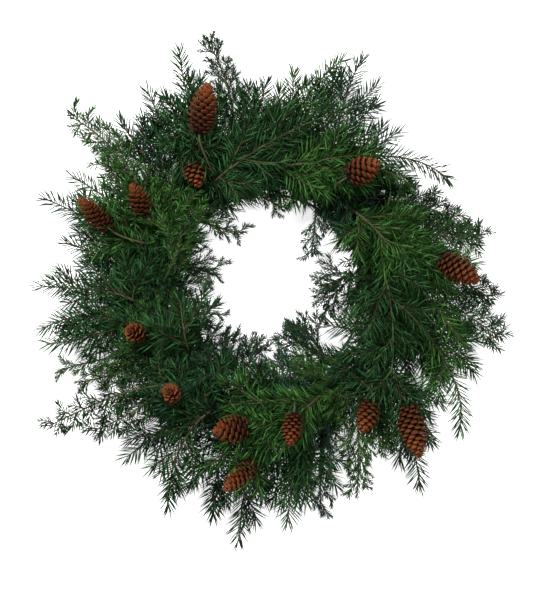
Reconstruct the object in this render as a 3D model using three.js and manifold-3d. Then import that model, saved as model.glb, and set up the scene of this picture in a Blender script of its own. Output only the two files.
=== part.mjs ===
// A fresh evergreen wreath, 24-inch size, lying on its back. Millimetres, +Z up.
// Cut boughs of fir, hemlock and juniper lie with their butts in the trough of a ring frame of
// steel wire. A thinner wire is wound round frame and butts and ties them. Cones stand on their
// own stalks, whose feet are tied in too. The origin is the ring's centre, on the surface below.

import * as THREE from "three";
import { mergeVertices } from "three/addons/utils/BufferGeometryUtils.js";
import Module from "manifold-3d";

const wasm = await Module();
wasm.setup();

// ---------------------------------------------------------------- driving dimensions

const GAP = 0.4; // air kept between two pieces

// Ring frame: two upper rails and two lower ones on cross ties.
const TROUGH_RADIUS = 131.5;
const RAIL_THICKNESS = 3.2;
const UPPER_RAIL = { halfSpread: 20.5, height: 23.5 };
const LOWER_RAIL = { halfSpread: 7.5, height: 4.5 };
const TIE_THICKNESS = 3.6;
const TIE_COUNT = 8;
const RAIL_STEPS = 28;
const RAIL_SIDES = 4;

// Binding wire: one turn to each window, and a bundle of butts leaves the trough in each window.
const WINDOWS = 24;
const WINDOW = 360 / WINDOWS;
const WIRE_THICKNESS = 1.2;
const WIRE_LOOP = { halfWidth: 16.5, halfHeight: 11.3, height: 12.5, squareness: 0.5 };
const WIRE_STEPS = 8;
const WIRE_LEAD = 14.2; // degrees from a window's butts, counter-clockwise, to a turn's outer side

// Boughs.
// Three butts lie side by side in a window. `ahead` is degrees clockwise from its start.
const LANE = {
  outer: { radius: 140, ahead: 0 },
  middle: { radius: 132.5, ahead: 0 },
  inner: { radius: 124.5, ahead: 2.6 },
};
const BUTT_HEIGHT = 10;
const LOWEST = 4; // no foliage reaches lower
const TWIG_GAP = 2; // air between a side twig and other stems
const STEM_RADIUS = 1.7;
const STEM_TIP_RADIUS = 1.0;
const TROUGH_RUN = 34; // the least sweep along the trough before a stem turns to its tip
const SWEEP = { butt: 0.32, tip: 0.38 }; // of its reach, how far a stem keeps to each end's heading
const CLIMB_START = 6;
const GENTLE_CLIMB = { least: 25, perHeight: 0.6 }; // the length that a climb may take at most
const DROOP = 0.14; // of its crest, how much lower a stem's tip hangs
const RAIL_PASS = { spread: 15.5, height: 27.4 }; // a stem is this high by the time it nears a rail
const BARE_LENGTH = 52; // the butt end, stripped of needles before it is tied in
const BARE_SHARE = 0.45; // of a short bough, less than that is stripped
const LOW = 31;
const MID = 44;
const HIGH = 66;

// What grows on a bough of each kind: needle length and lean, distance between whorls, and side
// twigs: how many to a whorl, how long, and their lean from the stem.
const FIR = { word: "fir", needle: 20, lean: 48, pitch: 41, twigs: 1, twig: 46, twigLean: 46 };
const HEMLOCK = { word: "hemlock", needle: 13, lean: 58, pitch: 32, twigs: 1, twig: 36, twigLean: 52 };
const JUNIPER = { word: "juniper", needle: 9, lean: 40, pitch: 36, twigs: 2, twig: 34, twigLean: 38 };
const WHORL = 1.7; // length of the short stretch that the needles of one whorl stand on
const NEEDLE_RADIUS = 0.8;
const NEEDLE_SPREAD = { least: 0.85, range: 0.3 }; // needle lengths, as shares of the kind's own
const END_NEEDLE = { stem: 0.8, twig: 0.6 }; // the last needle's share of that length
const TWIG_SHARE = { low: 1.15, fall: 0.6 }; // side twigs shorten from the butt to the tip
const TWIG_BEND = 0.12; // how much of its length a twig is carried on along the stem
const FORK = { lean: 50, middle: 0.4, rise: 5, collar: 6, radius: 1.2 };

// Cover twigs leave a stem as it comes out of the trough, from collars at these shares of the bare
// butt. They run on clockwise over the next bundles, by `ahead` degrees and up to `aheadRange`
// more, and hide the frame. The golden ratio spreads their ends evenly over the ring, between the
// inner and the outer radius. The hole is wider at its upper right, round the angle `widest`.
const BARE_RINGS = [0.22, 0.42];
const COLLARS = [0.62, 0.92];
const COVER = { ahead: 17, aheadRange: 10, inner: 97, outer: 162, low: 38, lowRange: 15 };
const HOLE = { wider: 14, widest: 70 };
const GOLDEN = 0.618034;

// Turns round the shoot in degrees, and shares of the length, that are tried until one has room.
const TWIG_TRIES = [[0, 1], [14, 1], [-14, 1], [26, 0.9], [-26, 0.9], [0, 0.7]];
const NEEDLE_TRIES = [[0, 1], [11, 1], [-11, 1], [22, 0.9], [-22, 0.8], [0, 0.65], [0, 0.45]];
const FORK_ARCHES = [0, 6, 12, 18, 24, -6];

// Cones.
const CONE_SIDES = 10;
const SCALE_ROW = 9; // length of cone to a row of scales
const SCALE = { out: 1.12, in: 0.8, reach: 0.032, back: 0.012 }; // raised and sunk corners
const CONE_LIFT = 1.5; // a cone is raised in such steps until it lies clear of the stems
const STALK = { radius: 1.3, sides: 4, foot: 16, knee: 46, inside: 6, steps: 6 };
const STALK_STEP = 1.2; // degrees between the places that are tried for a stalk's foot

const SEED = 20;

// ---------------------------------------------------------------- what is laid on the ring

// Boughs clockwise from the top: kind, window, lane, tip in plan, the tip's heading in degrees
// from +X, the height that its stem climbs to, and a second tip where the bough forks.
const BOUGHS = [
  [FIR, 0, "outer", [216, 121], 312, MID],
  [FIR, 1, "outer", [115, 275], 52, LOW],
  [JUNIPER, 1, "inner", [52, 37], 274, LOW],
  [HEMLOCK, 2, "outer", [233, 57], 296, LOW],
  [FIR, 2, "middle", [231, -71], 307, HIGH, [187, 32]],
  [HEMLOCK, 3, "outer", [250, 56], 350, MID],
  [HEMLOCK, 4, "outer", [275, -59], 323, LOW, [264, -15]],
  [FIR, 4, "middle", [139, -144], 264, HIGH],
  [JUNIPER, 4, "inner", [64, -21], 236, LOW, [72, 21]],
  [FIR, 5, "outer", [220, -171], 254, MID],
  [FIR, 6, "outer", [243, -104], 290, LOW],
  [FIR, 7, "outer", [176, -236], 268, LOW],
  [JUNIPER, 8, "outer", [103, -241], 262, MID, [144, -190]],
  [JUNIPER, 8, "inner", [18, -49], 145, LOW, [33, -39]],
  [JUNIPER, 9, "outer", [63, -264], 273, LOW],
  [FIR, 9, "middle", [-79, -208], 211, HIGH],
  [FIR, 10, "outer", [22, -277], 260, MID, [10, -253]],
  [FIR, 10, "inner", [-54, -131], 179, HIGH],
  [FIR, 11, "outer", [-34, -300], 265, LOW],
  [FIR, 12, "outer", [-62, -272], 274, LOW],
  [FIR, 13, "outer", [-113, -260], 278, MID],
  [FIR, 13, "middle", [-170, -199], 215, LOW],
  [JUNIPER, 13, "inner", [-6, -64], 76, LOW],
  [HEMLOCK, 14, "outer", [-256, -159], 206, MID, [-205, -164]],
  [FIR, 14, "inner", [-102, 0], 102, HIGH],
  [JUNIPER, 15, "outer", [-245, -95], 199, LOW, [-224, -107]],
  [JUNIPER, 15, "inner", [-37, -55], 43, LOW],
  [FIR, 16, "outer", [-268, -52], 222, LOW, [-264, -63]],
  [JUNIPER, 16, "inner", [-57, -24], 50, LOW],
  [FIR, 17, "outer", [-272, 6], 172, MID],
  [FIR, 17, "middle", [-243, 57], 167, LOW],
  [JUNIPER, 17, "inner", [-100, 75], 98, HIGH],
  [FIR, 18, "outer", [-267, 110], 157, LOW],
  [FIR, 18, "middle", [-233, 133], 160, MID],
  [JUNIPER, 18, "inner", [-53, 25], 7, LOW],
  [HEMLOCK, 19, "outer", [-231, 202], 154, MID, [-187, 153]],
  [FIR, 20, "outer", [-143, 239], 117, LOW, [-175, 204]],
  [JUNIPER, 20, "inner", [-21, 67], 7, LOW],
  [FIR, 21, "outer", [-102, 285], 93, MID],
  [FIR, 21, "middle", [95, 209], 18, HIGH],
  [JUNIPER, 22, "outer", [-75, 296], 127, LOW],
  [FIR, 22, "middle", [0, 247], 79, MID],
  [JUNIPER, 22, "inner", [22, 91], 325, LOW],
  [FIR, 23, "outer", [95, 271], 30, LOW],
  [FIR, 23, "middle", [172, 115], 321, HIGH],
];

// Cones: the stalk end and the tip in plan, the heights of both, and the width.
const CONES = [
  [[-77, 176], [-67, 238], 74, 70, 27],
  [[90, 127], [127, 144], 60, 58, 27],
  [[195, 37], [244, 8], 66, 62, 25],
  [[159, -129], [175, -194], 70, 66, 26],
  [[121, -124], [110, -164], 58, 52, 22],
  [[31, -138], [26, -178], 72, 70, 18],
  [[-10, -194], [-51, -231], 62, 60, 20],
  [[-18, -156], [-61, -161], 72, 72, 28],
  [[-107, -122], [-112, -115], 50, 76, 16],
  [[-142, -52], [-158, -46], 52, 74, 17],
  [[-178, 68], [-216, 106], 62, 66, 19],
  [[-137, 84], [-156, 122], 60, 58, 20],
  [[-88, 150], [-78, 118], 58, 54, 20],
];

// ---------------------------------------------------------------- small helpers

// Random numbers from 0 to 1, the same each time for the same seed.
function seeded(seed) {
  let state = seed;
  return () => {
    state = (state + 0x6d2b79f5) | 0;
    let mixed = Math.imul(state ^ (state >>> 15), 1 | state);
    mixed = (mixed + Math.imul(mixed ^ (mixed >>> 7), 61 | mixed)) ^ mixed;
    return ((mixed ^ (mixed >>> 14)) >>> 0) / 4294967296;
  };
}

function onRing(degrees, radius, height) {
  const angle = THREE.MathUtils.degToRad(degrees);
  return new THREE.Vector3(radius * Math.cos(angle), radius * Math.sin(angle), height);
}

function headingVector(degrees) {
  return onRing(degrees, 1, 0);
}

// ---------------------------------------------------------------- joining solids

function toSolid(geometry) {
  const bare = geometry.clone();
  bare.deleteAttribute("normal");
  bare.deleteAttribute("uv");
  const merged = mergeVertices(bare, 1e-3);
  const mesh = new wasm.Mesh({
    numProp: 3,
    vertProperties: new Float32Array(merged.attributes.position.array),
    triVerts: new Uint32Array(merged.index.array),
  });
  return new wasm.Manifold(mesh);
}

function toGeometry(solid) {
  const mesh = solid.getMesh();
  const geometry = new THREE.BufferGeometry();
  geometry.setAttribute("position", new THREE.BufferAttribute(mesh.vertProperties, 3));
  geometry.setIndex(new THREE.BufferAttribute(mesh.triVerts, 1));
  return geometry;
}

// ---------------------------------------------------------------- ring frame

// A regular outline round (x, y), with a flat side at the bottom.
function outline(sides, thickness, x = 0, y = 0) {
  const points = [];
  for (let i = 0; i <= sides; i += 1) {
    const angle = -Math.PI / 2 + ((i + 0.5) / sides) * 2 * Math.PI;
    const across = thickness / 2;
    points.push(new THREE.Vector2(x + across * Math.cos(angle), y + across * Math.sin(angle)));
  }
  return points;
}

function rail(spread, height) {
  const section = outline(RAIL_SIDES, RAIL_THICKNESS, TROUGH_RADIUS + spread, height);
  const ring = new THREE.LatheGeometry(section, RAIL_STEPS);
  return ring.rotateX(Math.PI / 2);
}

// A cross tie: a flat-bottomed U that holds both lower rails on its floor and an upper rail at
// the top of each leg.
function crossTie(degrees) {
  const { halfSpread: high, height: top } = UPPER_RAIL;
  const low = LOWER_RAIL.halfSpread + 1;
  const half = TIE_THICKNESS / 2;
  const leg = (level) => low + ((high - low) * level) / top;
  const right = [[leg(0) + half, 0], [leg(top) + half, top], [leg(top) - half, top]];
  right.push([leg(TIE_THICKNESS) - half, TIE_THICKNESS]);
  const left = right.map(([across, level]) => [-across, level]).reverse();
  const section = new THREE.Shape([...right, ...left].map((at) => new THREE.Vector2(...at)));
  const tie = new THREE.ExtrudeGeometry(section, { depth: TIE_THICKNESS, bevelEnabled: false });
  tie.translate(TROUGH_RADIUS, 0, -half).rotateX(Math.PI / 2);
  return toSolid(tie.rotateZ(THREE.MathUtils.degToRad(degrees)));
}

function ringFrame() {
  const rails = [UPPER_RAIL, LOWER_RAIL].flatMap(({ halfSpread, height }) => [
    toSolid(rail(-halfSpread, height)),
    toSolid(rail(halfSpread, height)),
  ]);
  const ties = [];
  for (let i = 0; i < TIE_COUNT; i += 1) {
    ties.push(crossTie(tieAngle(i)));
  }
  return toGeometry([...rails, ...ties].reduce((frame, bar) => frame.add(bar)));
}

// A tie stands where the wire runs over the top of the trough, so that the two never meet.
function tieAngle(i) {
  return WIRE_LEAD - WINDOW / 4 + (360 / TIE_COUNT) * i;
}

// ---------------------------------------------------------------- binding wire

// A coil round the trough: a rounded square loop, carried clockwise one window each turn.
class BindingPath extends THREE.Curve {
  getPoint(t, target = new THREE.Vector3()) {
    const turns = t * (WINDOWS - 0.5);
    const angle = turns * 2 * Math.PI;
    const { halfWidth, halfHeight, height, squareness } = WIRE_LOOP;
    const across = Math.cos(angle);
    const up = Math.sin(angle);
    const radius = TROUGH_RADIUS + halfWidth * Math.sign(across) * Math.abs(across) ** squareness;
    const level = height + halfHeight * Math.sign(up) * Math.abs(up) ** squareness;
    return target.copy(onRing(90 + WIRE_LEAD - WINDOW * turns, radius, level));
  }

  getPointAt(u, target) {
    return this.getPoint(u, target);
  }

  getTangentAt(u, target) {
    return this.getTangent(u, target);
  }
}

function bindingWire() {
  const section = new THREE.Shape(outline(3, WIRE_THICKNESS));
  return new THREE.ExtrudeGeometry(section, {
    steps: Math.round((WINDOWS - 0.5) * WIRE_STEPS),
    extrudePath: new BindingPath(),
  });
}

// ---------------------------------------------------------------- clearance

// Everything laid so far, as round-ended bars in a grid of cells.
class Clearance {
  constructor(cell = 24) {
    this.cell = cell;
    this.cells = new Map();
  }

  * keys(a, b, margin) {
    const low = a.clone().min(b).subScalar(margin).divideScalar(this.cell).floor();
    const high = a.clone().max(b).addScalar(margin).divideScalar(this.cell).floor();
    for (let x = low.x; x <= high.x; x += 1) {
      for (let y = low.y; y <= high.y; y += 1) {
        for (let z = low.z; z <= high.z; z += 1) {
          yield (x + 100) * 1000000 + (y + 100) * 1000 + z + 100;
        }
      }
    }
  }

  add(a, b, radius, owner) {
    const bar = { a, b, radius, owner };
    for (const key of this.keys(a, b, radius)) {
      if (!this.cells.has(key)) {
        this.cells.set(key, []);
      }
      this.cells.get(key).push(bar);
    }
  }

  // True when a bar from a to b keeps `gap` to all that isn't `own`.
  free(a, b, radius, gap, own = () => false) {
    const margin = radius + gap;
    for (const key of this.keys(a, b, margin)) {
      for (const bar of this.cells.get(key) ?? []) {
        if (own(bar.owner)) {
          continue;
        }
        if (barDistance(a, b, bar.a, bar.b) < margin + bar.radius) {
          return false;
        }
      }
    }
    return true;
  }
}

// Shortest distance between the segments a-b and c-d.
function barDistance(a, b, c, d) {
  const u = b.clone().sub(a);
  const v = d.clone().sub(c);
  const w = a.clone().sub(c);
  const uu = u.dot(u);
  const uv = u.dot(v);
  const vv = v.dot(v);
  const uw = u.dot(w);
  const vw = v.dot(w);
  const determinant = uu * vv - uv * uv;
  let s = determinant > 1e-9 ? (uv * vw - vv * uw) / determinant : 0;
  s = THREE.MathUtils.clamp(s, 0, 1);
  let t = vv > 1e-9 ? (uv * s + vw) / vv : 0;
  t = THREE.MathUtils.clamp(t, 0, 1);
  s = uu > 1e-9 ? THREE.MathUtils.clamp((uv * t - uw) / uu, 0, 1) : 0;
  return w.addScaledVector(u, s).addScaledVector(v, -t).length();
}

// ---------------------------------------------------------------- stems

// A bough's stem: clockwise along the trough from its butt, up between two turns of the wire,
// and on to the tip in one sweep.
class Stem {
  constructor([kind, window, lane, tip, heading, level, fork]) {
    Object.assign(this, { kind, fork, crest: level });
    const { radius, ahead } = LANE[lane];
    const angle = 90 - WINDOW * window - ahead;
    const butt = onRing(angle, radius, 0);
    const end = new THREE.Vector3(tip[0], tip[1], 0);
    const reach = butt.distanceTo(end);
    const run = Math.max(TROUGH_RUN, SWEEP.butt * reach);
    const out = butt.clone().addScaledVector(headingVector(angle - 90), run);
    const back = end.clone().addScaledVector(headingVector(heading), -SWEEP.tip * reach);
    this.plan = new THREE.CubicBezierCurve3(butt, out, back, end);
    this.length = this.plan.getLength();
    this.bare = Math.min(BARE_LENGTH, BARE_SHARE * this.length);
    this.gate = this.railDistance();
  }

  // How far along the stem is when it nears an upper rail, seen in plan.
  railDistance() {
    const near = (s) => {
      const { x, y } = this.plan.getPointAt(s / this.length);
      return Math.abs(Math.hypot(x, y) - TROUGH_RADIUS) > RAIL_PASS.spread;
    };
    let s = 0;
    while (s < this.length - 1 && !near(s)) {
      s += 1;
    }
    return s;
  }

  // Where the climb ends. Near a rail, the smooth rise from the butt to the crest has come to
  // the height that passes over the rail, and `part` is where in the rise that is.
  get climbEnd() {
    const share = (RAIL_PASS.height - BUTT_HEIGHT) / (this.crest - BUTT_HEIGHT);
    const part = 0.5 - Math.sin(Math.asin(1 - 2 * share) / 3);
    const early = CLIMB_START + (this.gate - CLIMB_START) / part;
    return Math.min(early, CLIMB_START + GENTLE_CLIMB.least + GENTLE_CLIMB.perHeight * this.crest);
  }

  // Point at a distance s from the butt.
  at(s) {
    const point = this.plan.getPointAt(THREE.MathUtils.clamp(s / this.length, 0, 1));
    const rise = THREE.MathUtils.smoothstep(s, CLIMB_START, this.climbEnd);
    const droop = THREE.MathUtils.smoothstep(s, this.bare, this.length);
    point.z = THREE.MathUtils.lerp(BUTT_HEIGHT, this.crest, rise) - DROOP * this.crest * droop;
    return point;
  }

  radius(s) {
    return THREE.MathUtils.lerp(STEM_RADIUS, STEM_TIP_RADIUS, s / this.length);
  }

  // The stem as a chain of points about 10 mm apart.
  chain() {
    const count = Math.ceil(this.length / 10);
    return Array.from({ length: count + 1 }, (_, i) => this.at((this.length * i) / count));
  }
}

function chainIsFree(space, chain, radius, gap, own) {
  return chain.slice(1).every((point, i) => space.free(chain[i], point, radius, gap, own));
}

function addChain(space, chain, radius, owner) {
  chain.slice(1).forEach((point, i) => space.add(chain[i], point, radius, owner));
}

// ---------------------------------------------------------------- growing

// A bough's one closed surface. Its stem is a three-sided tube that turns by a sixth of a circle
// at each ring. The six facets of a short stretch are buds: each is raised into a needle, grows
// on as a side twig, or is closed flat.
class Surface {
  constructor() {
    this.points = [];
    this.faces = [];
  }

  point(at) {
    this.points.push(at);
    return this.points.length - 1;
  }

  centre(corners) {
    const sum = corners.reduce((total, i) => total.add(this.points[i]), new THREE.Vector3());
    return sum.divideScalar(corners.length);
  }

  face(a, b, c) {
    this.faces.push(a, b, c);
  }

  // The first ring of a bough, closed at the back.
  butt(at, along, radius) {
    const side = new THREE.Vector3(0, 0, 1).addScaledVector(along, -along.z).normalize();
    const across = new THREE.Vector3().crossVectors(along, side);
    const ring = [0, 1, 2].map((i) => {
      const angle = (i * 2 * Math.PI) / 3;
      const out = side.clone().multiplyScalar(Math.cos(angle)).addScaledVector(across, Math.sin(angle));
      return this.point(out.multiplyScalar(radius).add(at));
    });
    this.face(ring[0], ring[2], ring[1]);
    return ring;
  }

  // The next ring: each corner stands between two corners of the ring before.
  ring(before, at, along, radius) {
    const middle = this.centre(before);
    return before.map((corner, i) => {
      const next = this.points[before[(i + 1) % 3]];
      const out = this.points[corner].clone().add(next).multiplyScalar(0.5).sub(middle);
      out.addScaledVector(along, -out.dot(along)).setLength(radius);
      return this.point(out.add(at));
    });
  }

  // The six facets between two rings, as lists of corners.
  facets(before, after) {
    return [0, 1, 2].flatMap((i) => {
      const next = (i + 1) % 3;
      return [[before[i], before[next], after[i]], [before[next], after[next], after[i]]];
    });
  }

  spike(corners, tip) {
    const peak = this.point(tip);
    corners.forEach((corner, i) => this.face(corner, corners[(i + 1) % 3], peak));
  }

  geometry() {
    const geometry = new THREE.BufferGeometry();
    geometry.setFromPoints(this.points);
    geometry.setIndex(this.faces);
    return geometry;
  }
}

// Grows one shoot along a chain of stations and gathers its buds. A station is
// { at, along, radius, whorl }, and a whorl station is followed by its short stretch.
function growShoot(surface, start, stations, shoot) {
  let ring = start;
  const buds = [];
  for (const { at, along, radius, whorl } of stations) {
    const next = surface.ring(ring, at, along, radius);
    surface.facets(ring, next).forEach((facet) => surface.face(...facet));
    ring = next;
    if (whorl !== undefined) {
      const close = at.clone().addScaledVector(along, WHORL);
      const end = surface.ring(ring, close, along, radius);
      for (const corners of surface.facets(ring, end)) {
        const out = surface.centre(corners).sub(at).addScaledVector(along, -WHORL / 2);
        out.addScaledVector(along, -out.dot(along)).normalize();
        buds.push({ corners, out, along, shoot, whorl });
      }
      ring = end;
    }
  }
  const last = stations[stations.length - 1];
  const past = WHORL + shoot.kind.needle * END_NEEDLE.stem;
  surface.spike(ring, last.at.clone().addScaledVector(last.along, past));
  return buds;
}

// Plain rings and collars on the bare butt, then whorls at even steps to just short of the tip. A
// collar is a whorl numbered 0, and the others are numbered up to 1.
function stemStations(stem) {
  const { needle, pitch } = stem.kind;
  const end = stem.length - needle * END_NEEDLE.stem - WHORL;
  const count = Math.max(2, Math.round((end - stem.bare) / pitch) + 1);
  const stations = [];
  for (const share of [...BARE_RINGS, ...COLLARS]) {
    const s = share * stem.bare;
    const whorl = COLLARS.includes(share) ? 0 : undefined;
    stations.push({ at: stem.at(s), along: alongStem(stem, s), radius: stem.radius(s), whorl });
  }
  for (let i = 0; i < count; i += 1) {
    const s = THREE.MathUtils.lerp(stem.bare + WHORL * 2, end, i / (count - 1));
    const whorl = (i + 1) / count;
    stations.push({ at: stem.at(s), along: alongStem(stem, s), radius: stem.radius(s), whorl });
  }
  return stations;
}

function alongStem(stem, s) {
  return stem.at(s + 1).sub(stem.at(s - 1)).normalize();
}

// A side twig's stations: straight for a start, bending a little towards the stem's heading.
function twigStations(bud, direction, length, kind) {
  const root = bud.root;
  const at = (s) => {
    const bend = (TWIG_BEND * s * s) / length;
    return root.clone().addScaledVector(direction, s).addScaledVector(bud.along, bend);
  };
  const end = length - kind.needle * END_NEEDLE.twig - WHORL;
  const count = Math.max(1, Math.round(end / (kind.pitch * 0.9)));
  const stations = [];
  for (let i = 1; i <= count; i += 1) {
    const s = (end * i) / count;
    const along = at(s + 1).sub(at(s - 1)).normalize();
    stations.push({ at: at(s), along, radius: STEM_TIP_RADIUS, whorl: i / count });
  }
  return stations;
}

function stationChain(root, stations, beyond) {
  const last = stations[stations.length - 1];
  const tip = last.at.clone().addScaledVector(last.along, WHORL + beyond);
  return [root, ...stations.map(({ at }) => at), tip];
}

// Direction that leans away from the shoot by `lean` degrees, turned round it from the bud's own
// side by `turn` degrees.
function leaning(bud, lean, turn = 0) {
  const angle = THREE.MathUtils.degToRad(lean);
  const out = bud.out.clone().applyAxisAngle(bud.along, THREE.MathUtils.degToRad(turn));
  return bud.along.clone().multiplyScalar(Math.cos(angle)).addScaledVector(out, Math.sin(angle));
}

// The chain without its first stretch.
function beyond(chain, distance) {
  let left = distance;
  let i = 1;
  while (i < chain.length - 1 && chain[i].distanceTo(chain[i - 1]) < left) {
    left -= chain[i].distanceTo(chain[i - 1]);
    i += 1;
  }
  const step = chain[i].clone().sub(chain[i - 1]).setLength(left);
  return [chain[i - 1].clone().add(step), ...chain.slice(i)];
}

// A twig keeps clear of all other pieces, and of its own shoot from a little way out.
function twigIsFree(space, bud, chain) {
  const own = (owner) => owner === bud.shoot;
  return chainIsFree(space, beyond(chain, 3), STEM_TIP_RADIUS, TWIG_GAP, own)
    && chainIsFree(space, beyond(chain, 5), STEM_TIP_RADIUS, GAP);
}

// Tries a side twig on a bud at several turns and lengths. True if one had room.
function growTwig(space, bough, bud, length) {
  const { surface, kind } = bough;
  bud.root = surface.centre(bud.corners);
  for (const [turn, share] of TWIG_TRIES) {
    const direction = leaning(bud, kind.twigLean, turn);
    const stations = twigStations(bud, direction, length * share, kind);
    const chain = stationChain(bud.root, stations, kind.needle * END_NEEDLE.twig);
    if (twigIsFree(space, bud, chain) && chain.every(({ z }) => z > LOWEST)) {
      const shoot = { kind };
      bough.buds.push(...growShoot(surface, bud.corners, stations, shoot));
      addChain(space, chain, STEM_TIP_RADIUS, shoot);
      return true;
    }
  }
  return false;
}

// Side twigs leave the stem to its left and right in turn, longer low down than near the tip.
function growTwigs(space, bough) {
  const { kind, buds } = bough;
  const whorls = Map.groupBy([...buds], (bud) => bud.along);
  let side = 1;
  for (const [along, group] of whorls) {
    const place = group[0].whorl;
    if (place === 0 || place === 1) {
      continue;
    }
    for (let i = 0; i < kind.twigs; i += 1) {
      const wanted = new THREE.Vector3(0, 0, side).cross(along).normalize();
      const free = group.filter((bud) => !bud.grown);
      const bud = free.sort((a, b) => b.out.dot(wanted) - a.out.dot(wanted))[0];
      const share = TWIG_SHARE.low - TWIG_SHARE.fall * place;
      bud.grown = growTwig(space, bough, bud, kind.twig * share);
      side = -side;
    }
  }
}

// A bough's second leader, from a bud near the start of the foliage to its own tip.
function growFork(space, bough) {
  const { stem, buds } = bough;
  const tip = new THREE.Vector3(...stem.fork, stem.at(stem.length).z + FORK.rise);
  const first = buds.find(({ whorl }) => whorl > 0);
  growTo(space, bough, buds.filter(({ along }) => along === first.along), tip);
}

// One cover twig from each collar. `number` is the bough's own, from 1.
function growCover(space, bough, number) {
  const buds = bough.buds.filter(({ whorl }) => whorl === 0);
  const collars = [...Map.groupBy(buds, ({ along }) => along).values()];
  collars.forEach((group, i) => {
    const root = bough.surface.centre(group[0].corners);
    growTo(space, bough, group, coverTip(root, number, i));
  });
}

// Where a cover twig from `root` ends.
function coverTip(root, number, i) {
  const across = (number * GOLDEN + i / COLLARS.length) % 1;
  const other = (number * GOLDEN * GOLDEN + i * GOLDEN) % 1;
  const from = THREE.MathUtils.radToDeg(Math.atan2(root.y, root.x));
  const angle = from - COVER.ahead - COVER.aheadRange * other;
  const turn = THREE.MathUtils.degToRad(angle - HOLE.widest);
  const inner = COVER.inner + HOLE.wider * Math.max(0, Math.cos(turn));
  return onRing(angle, inner + (COVER.outer - inner) * across, COVER.low + COVER.lowRange * other);
}

// Grows a leader from the best bud of a group to a given tip, if it finds a clear way.
function growTo(space, bough, group, tip) {
  const { surface, kind } = bough;
  const towards = tip.clone().sub(surface.centre(group[0].corners));
  const free = group.filter(({ grown }) => !grown);
  const bud = free.sort((a, b) => b.out.dot(towards) - a.out.dot(towards))[0];
  bud.root = surface.centre(bud.corners);
  const reach = bud.root.distanceTo(tip);
  for (const arch of FORK_ARCHES) {
    const away = leaning(bud, FORK.lean);
    const middle = bud.root.clone().addScaledVector(away, FORK.middle * reach);
    middle.z += arch;
    const curve = new THREE.QuadraticBezierCurve3(bud.root, middle, tip);
    const stations = forkStations(curve, kind);
    const chain = stationChain(bud.root, stations, kind.needle * END_NEEDLE.stem);
    if (twigIsFree(space, bud, chain)) {
      const shoot = { kind };
      bough.buds.push(...growShoot(surface, bud.corners, stations, shoot));
      addChain(space, chain, STEM_TIP_RADIUS, shoot);
      bud.grown = true;
      return;
    }
  }
}

function forkStations(curve, kind) {
  const length = curve.getLength();
  const end = length - kind.needle * END_NEEDLE.stem - WHORL;
  const count = Math.max(2, Math.round(end / kind.pitch));
  const { radius, collar } = FORK;
  const station = (s, whorl) => {
    const place = s / length;
    return { at: curve.getPointAt(place), along: curve.getTangentAt(place), radius, whorl };
  };
  const whorls = Array.from({ length: count }, (_, i) => (i + 1) / count);
  return [station(collar), ...whorls.map((part) => station(end * part, part))];
}

// Raises each bud that is left into a needle where there is room, and closes it flat where not.
function growNeedles(space, bough, random) {
  const { surface, kind } = bough;
  for (const bud of bough.buds) {
    if (bud.grown) {
      continue;
    }
    if (bud.whorl === 0) {
      surface.face(...bud.corners);
      continue;
    }
    const root = surface.centre(bud.corners);
    const mates = (owner) => owner === bud.shoot || owner === bud.along;
    const length = kind.needle * (NEEDLE_SPREAD.least + NEEDLE_SPREAD.range * random());
    const fit = NEEDLE_TRIES.find(([turn, share]) => {
      const tip = root.clone().addScaledVector(leaning(bud, kind.lean, turn), length * share);
      const start = root.clone().lerp(tip, 0.15);
      return tip.z > LOWEST && space.free(start, tip, NEEDLE_RADIUS, GAP, mates);
    });
    if (!fit) {
      surface.face(...bud.corners);
      continue;
    }
    const direction = leaning(bud, kind.lean, fit[0]);
    const tip = root.clone().addScaledVector(direction, length * fit[1]);
    surface.spike(bud.corners, tip);
    space.add(root, tip, NEEDLE_RADIUS, bud.along);
  }
}

function startBough(stem) {
  const surface = new Surface();
  const start = surface.butt(stem.at(0), alongStem(stem, 0.5), stem.radius(0));
  const bough = { surface, stem, kind: stem.kind, buds: [] };
  bough.buds = growShoot(surface, start, stemStations(stem), stem);
  return bough;
}

// ---------------------------------------------------------------- cones

// Width of a cone along its length, from 0 at the stalk to 1 at the tip, as a share of its width.
function coneProfile(u) {
  return Math.sin(Math.PI * (0.12 + 0.8 * u)) ** 0.7;
}

// A cone as a turned form whose rings of corners are raised into scales, each row set between
// the scales of the row before. It points along +Y from the origin.
function coneBody(length, width) {
  const rows = Math.max(4, Math.round(length / SCALE_ROW));
  const profile = [new THREE.Vector2(0, 0)];
  for (let row = 0; row < rows; row += 1) {
    const u = (row + 0.6) / rows;
    profile.push(new THREE.Vector2((width / 2) * coneProfile(u) * 0.9, u * length * 0.97));
  }
  profile.push(new THREE.Vector2(0, length));
  const body = new THREE.LatheGeometry(profile, CONE_SIDES);
  const at = body.attributes.position;
  const perSide = profile.length;
  for (let i = 0; i < at.count; i += 1) {
    const row = i % perSide;
    const side = Math.floor(i / perSide) % CONE_SIDES;
    if (row === 0 || row === perSide - 1) {
      continue;
    }
    const raised = (side + row) % 2 === 0;
    const swell = raised ? SCALE.out : SCALE.in;
    at.setX(i, at.getX(i) * swell);
    at.setZ(i, at.getZ(i) * swell);
    at.setY(i, at.getY(i) + (raised ? SCALE.reach : -SCALE.back) * length);
  }
  return body;
}

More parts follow.
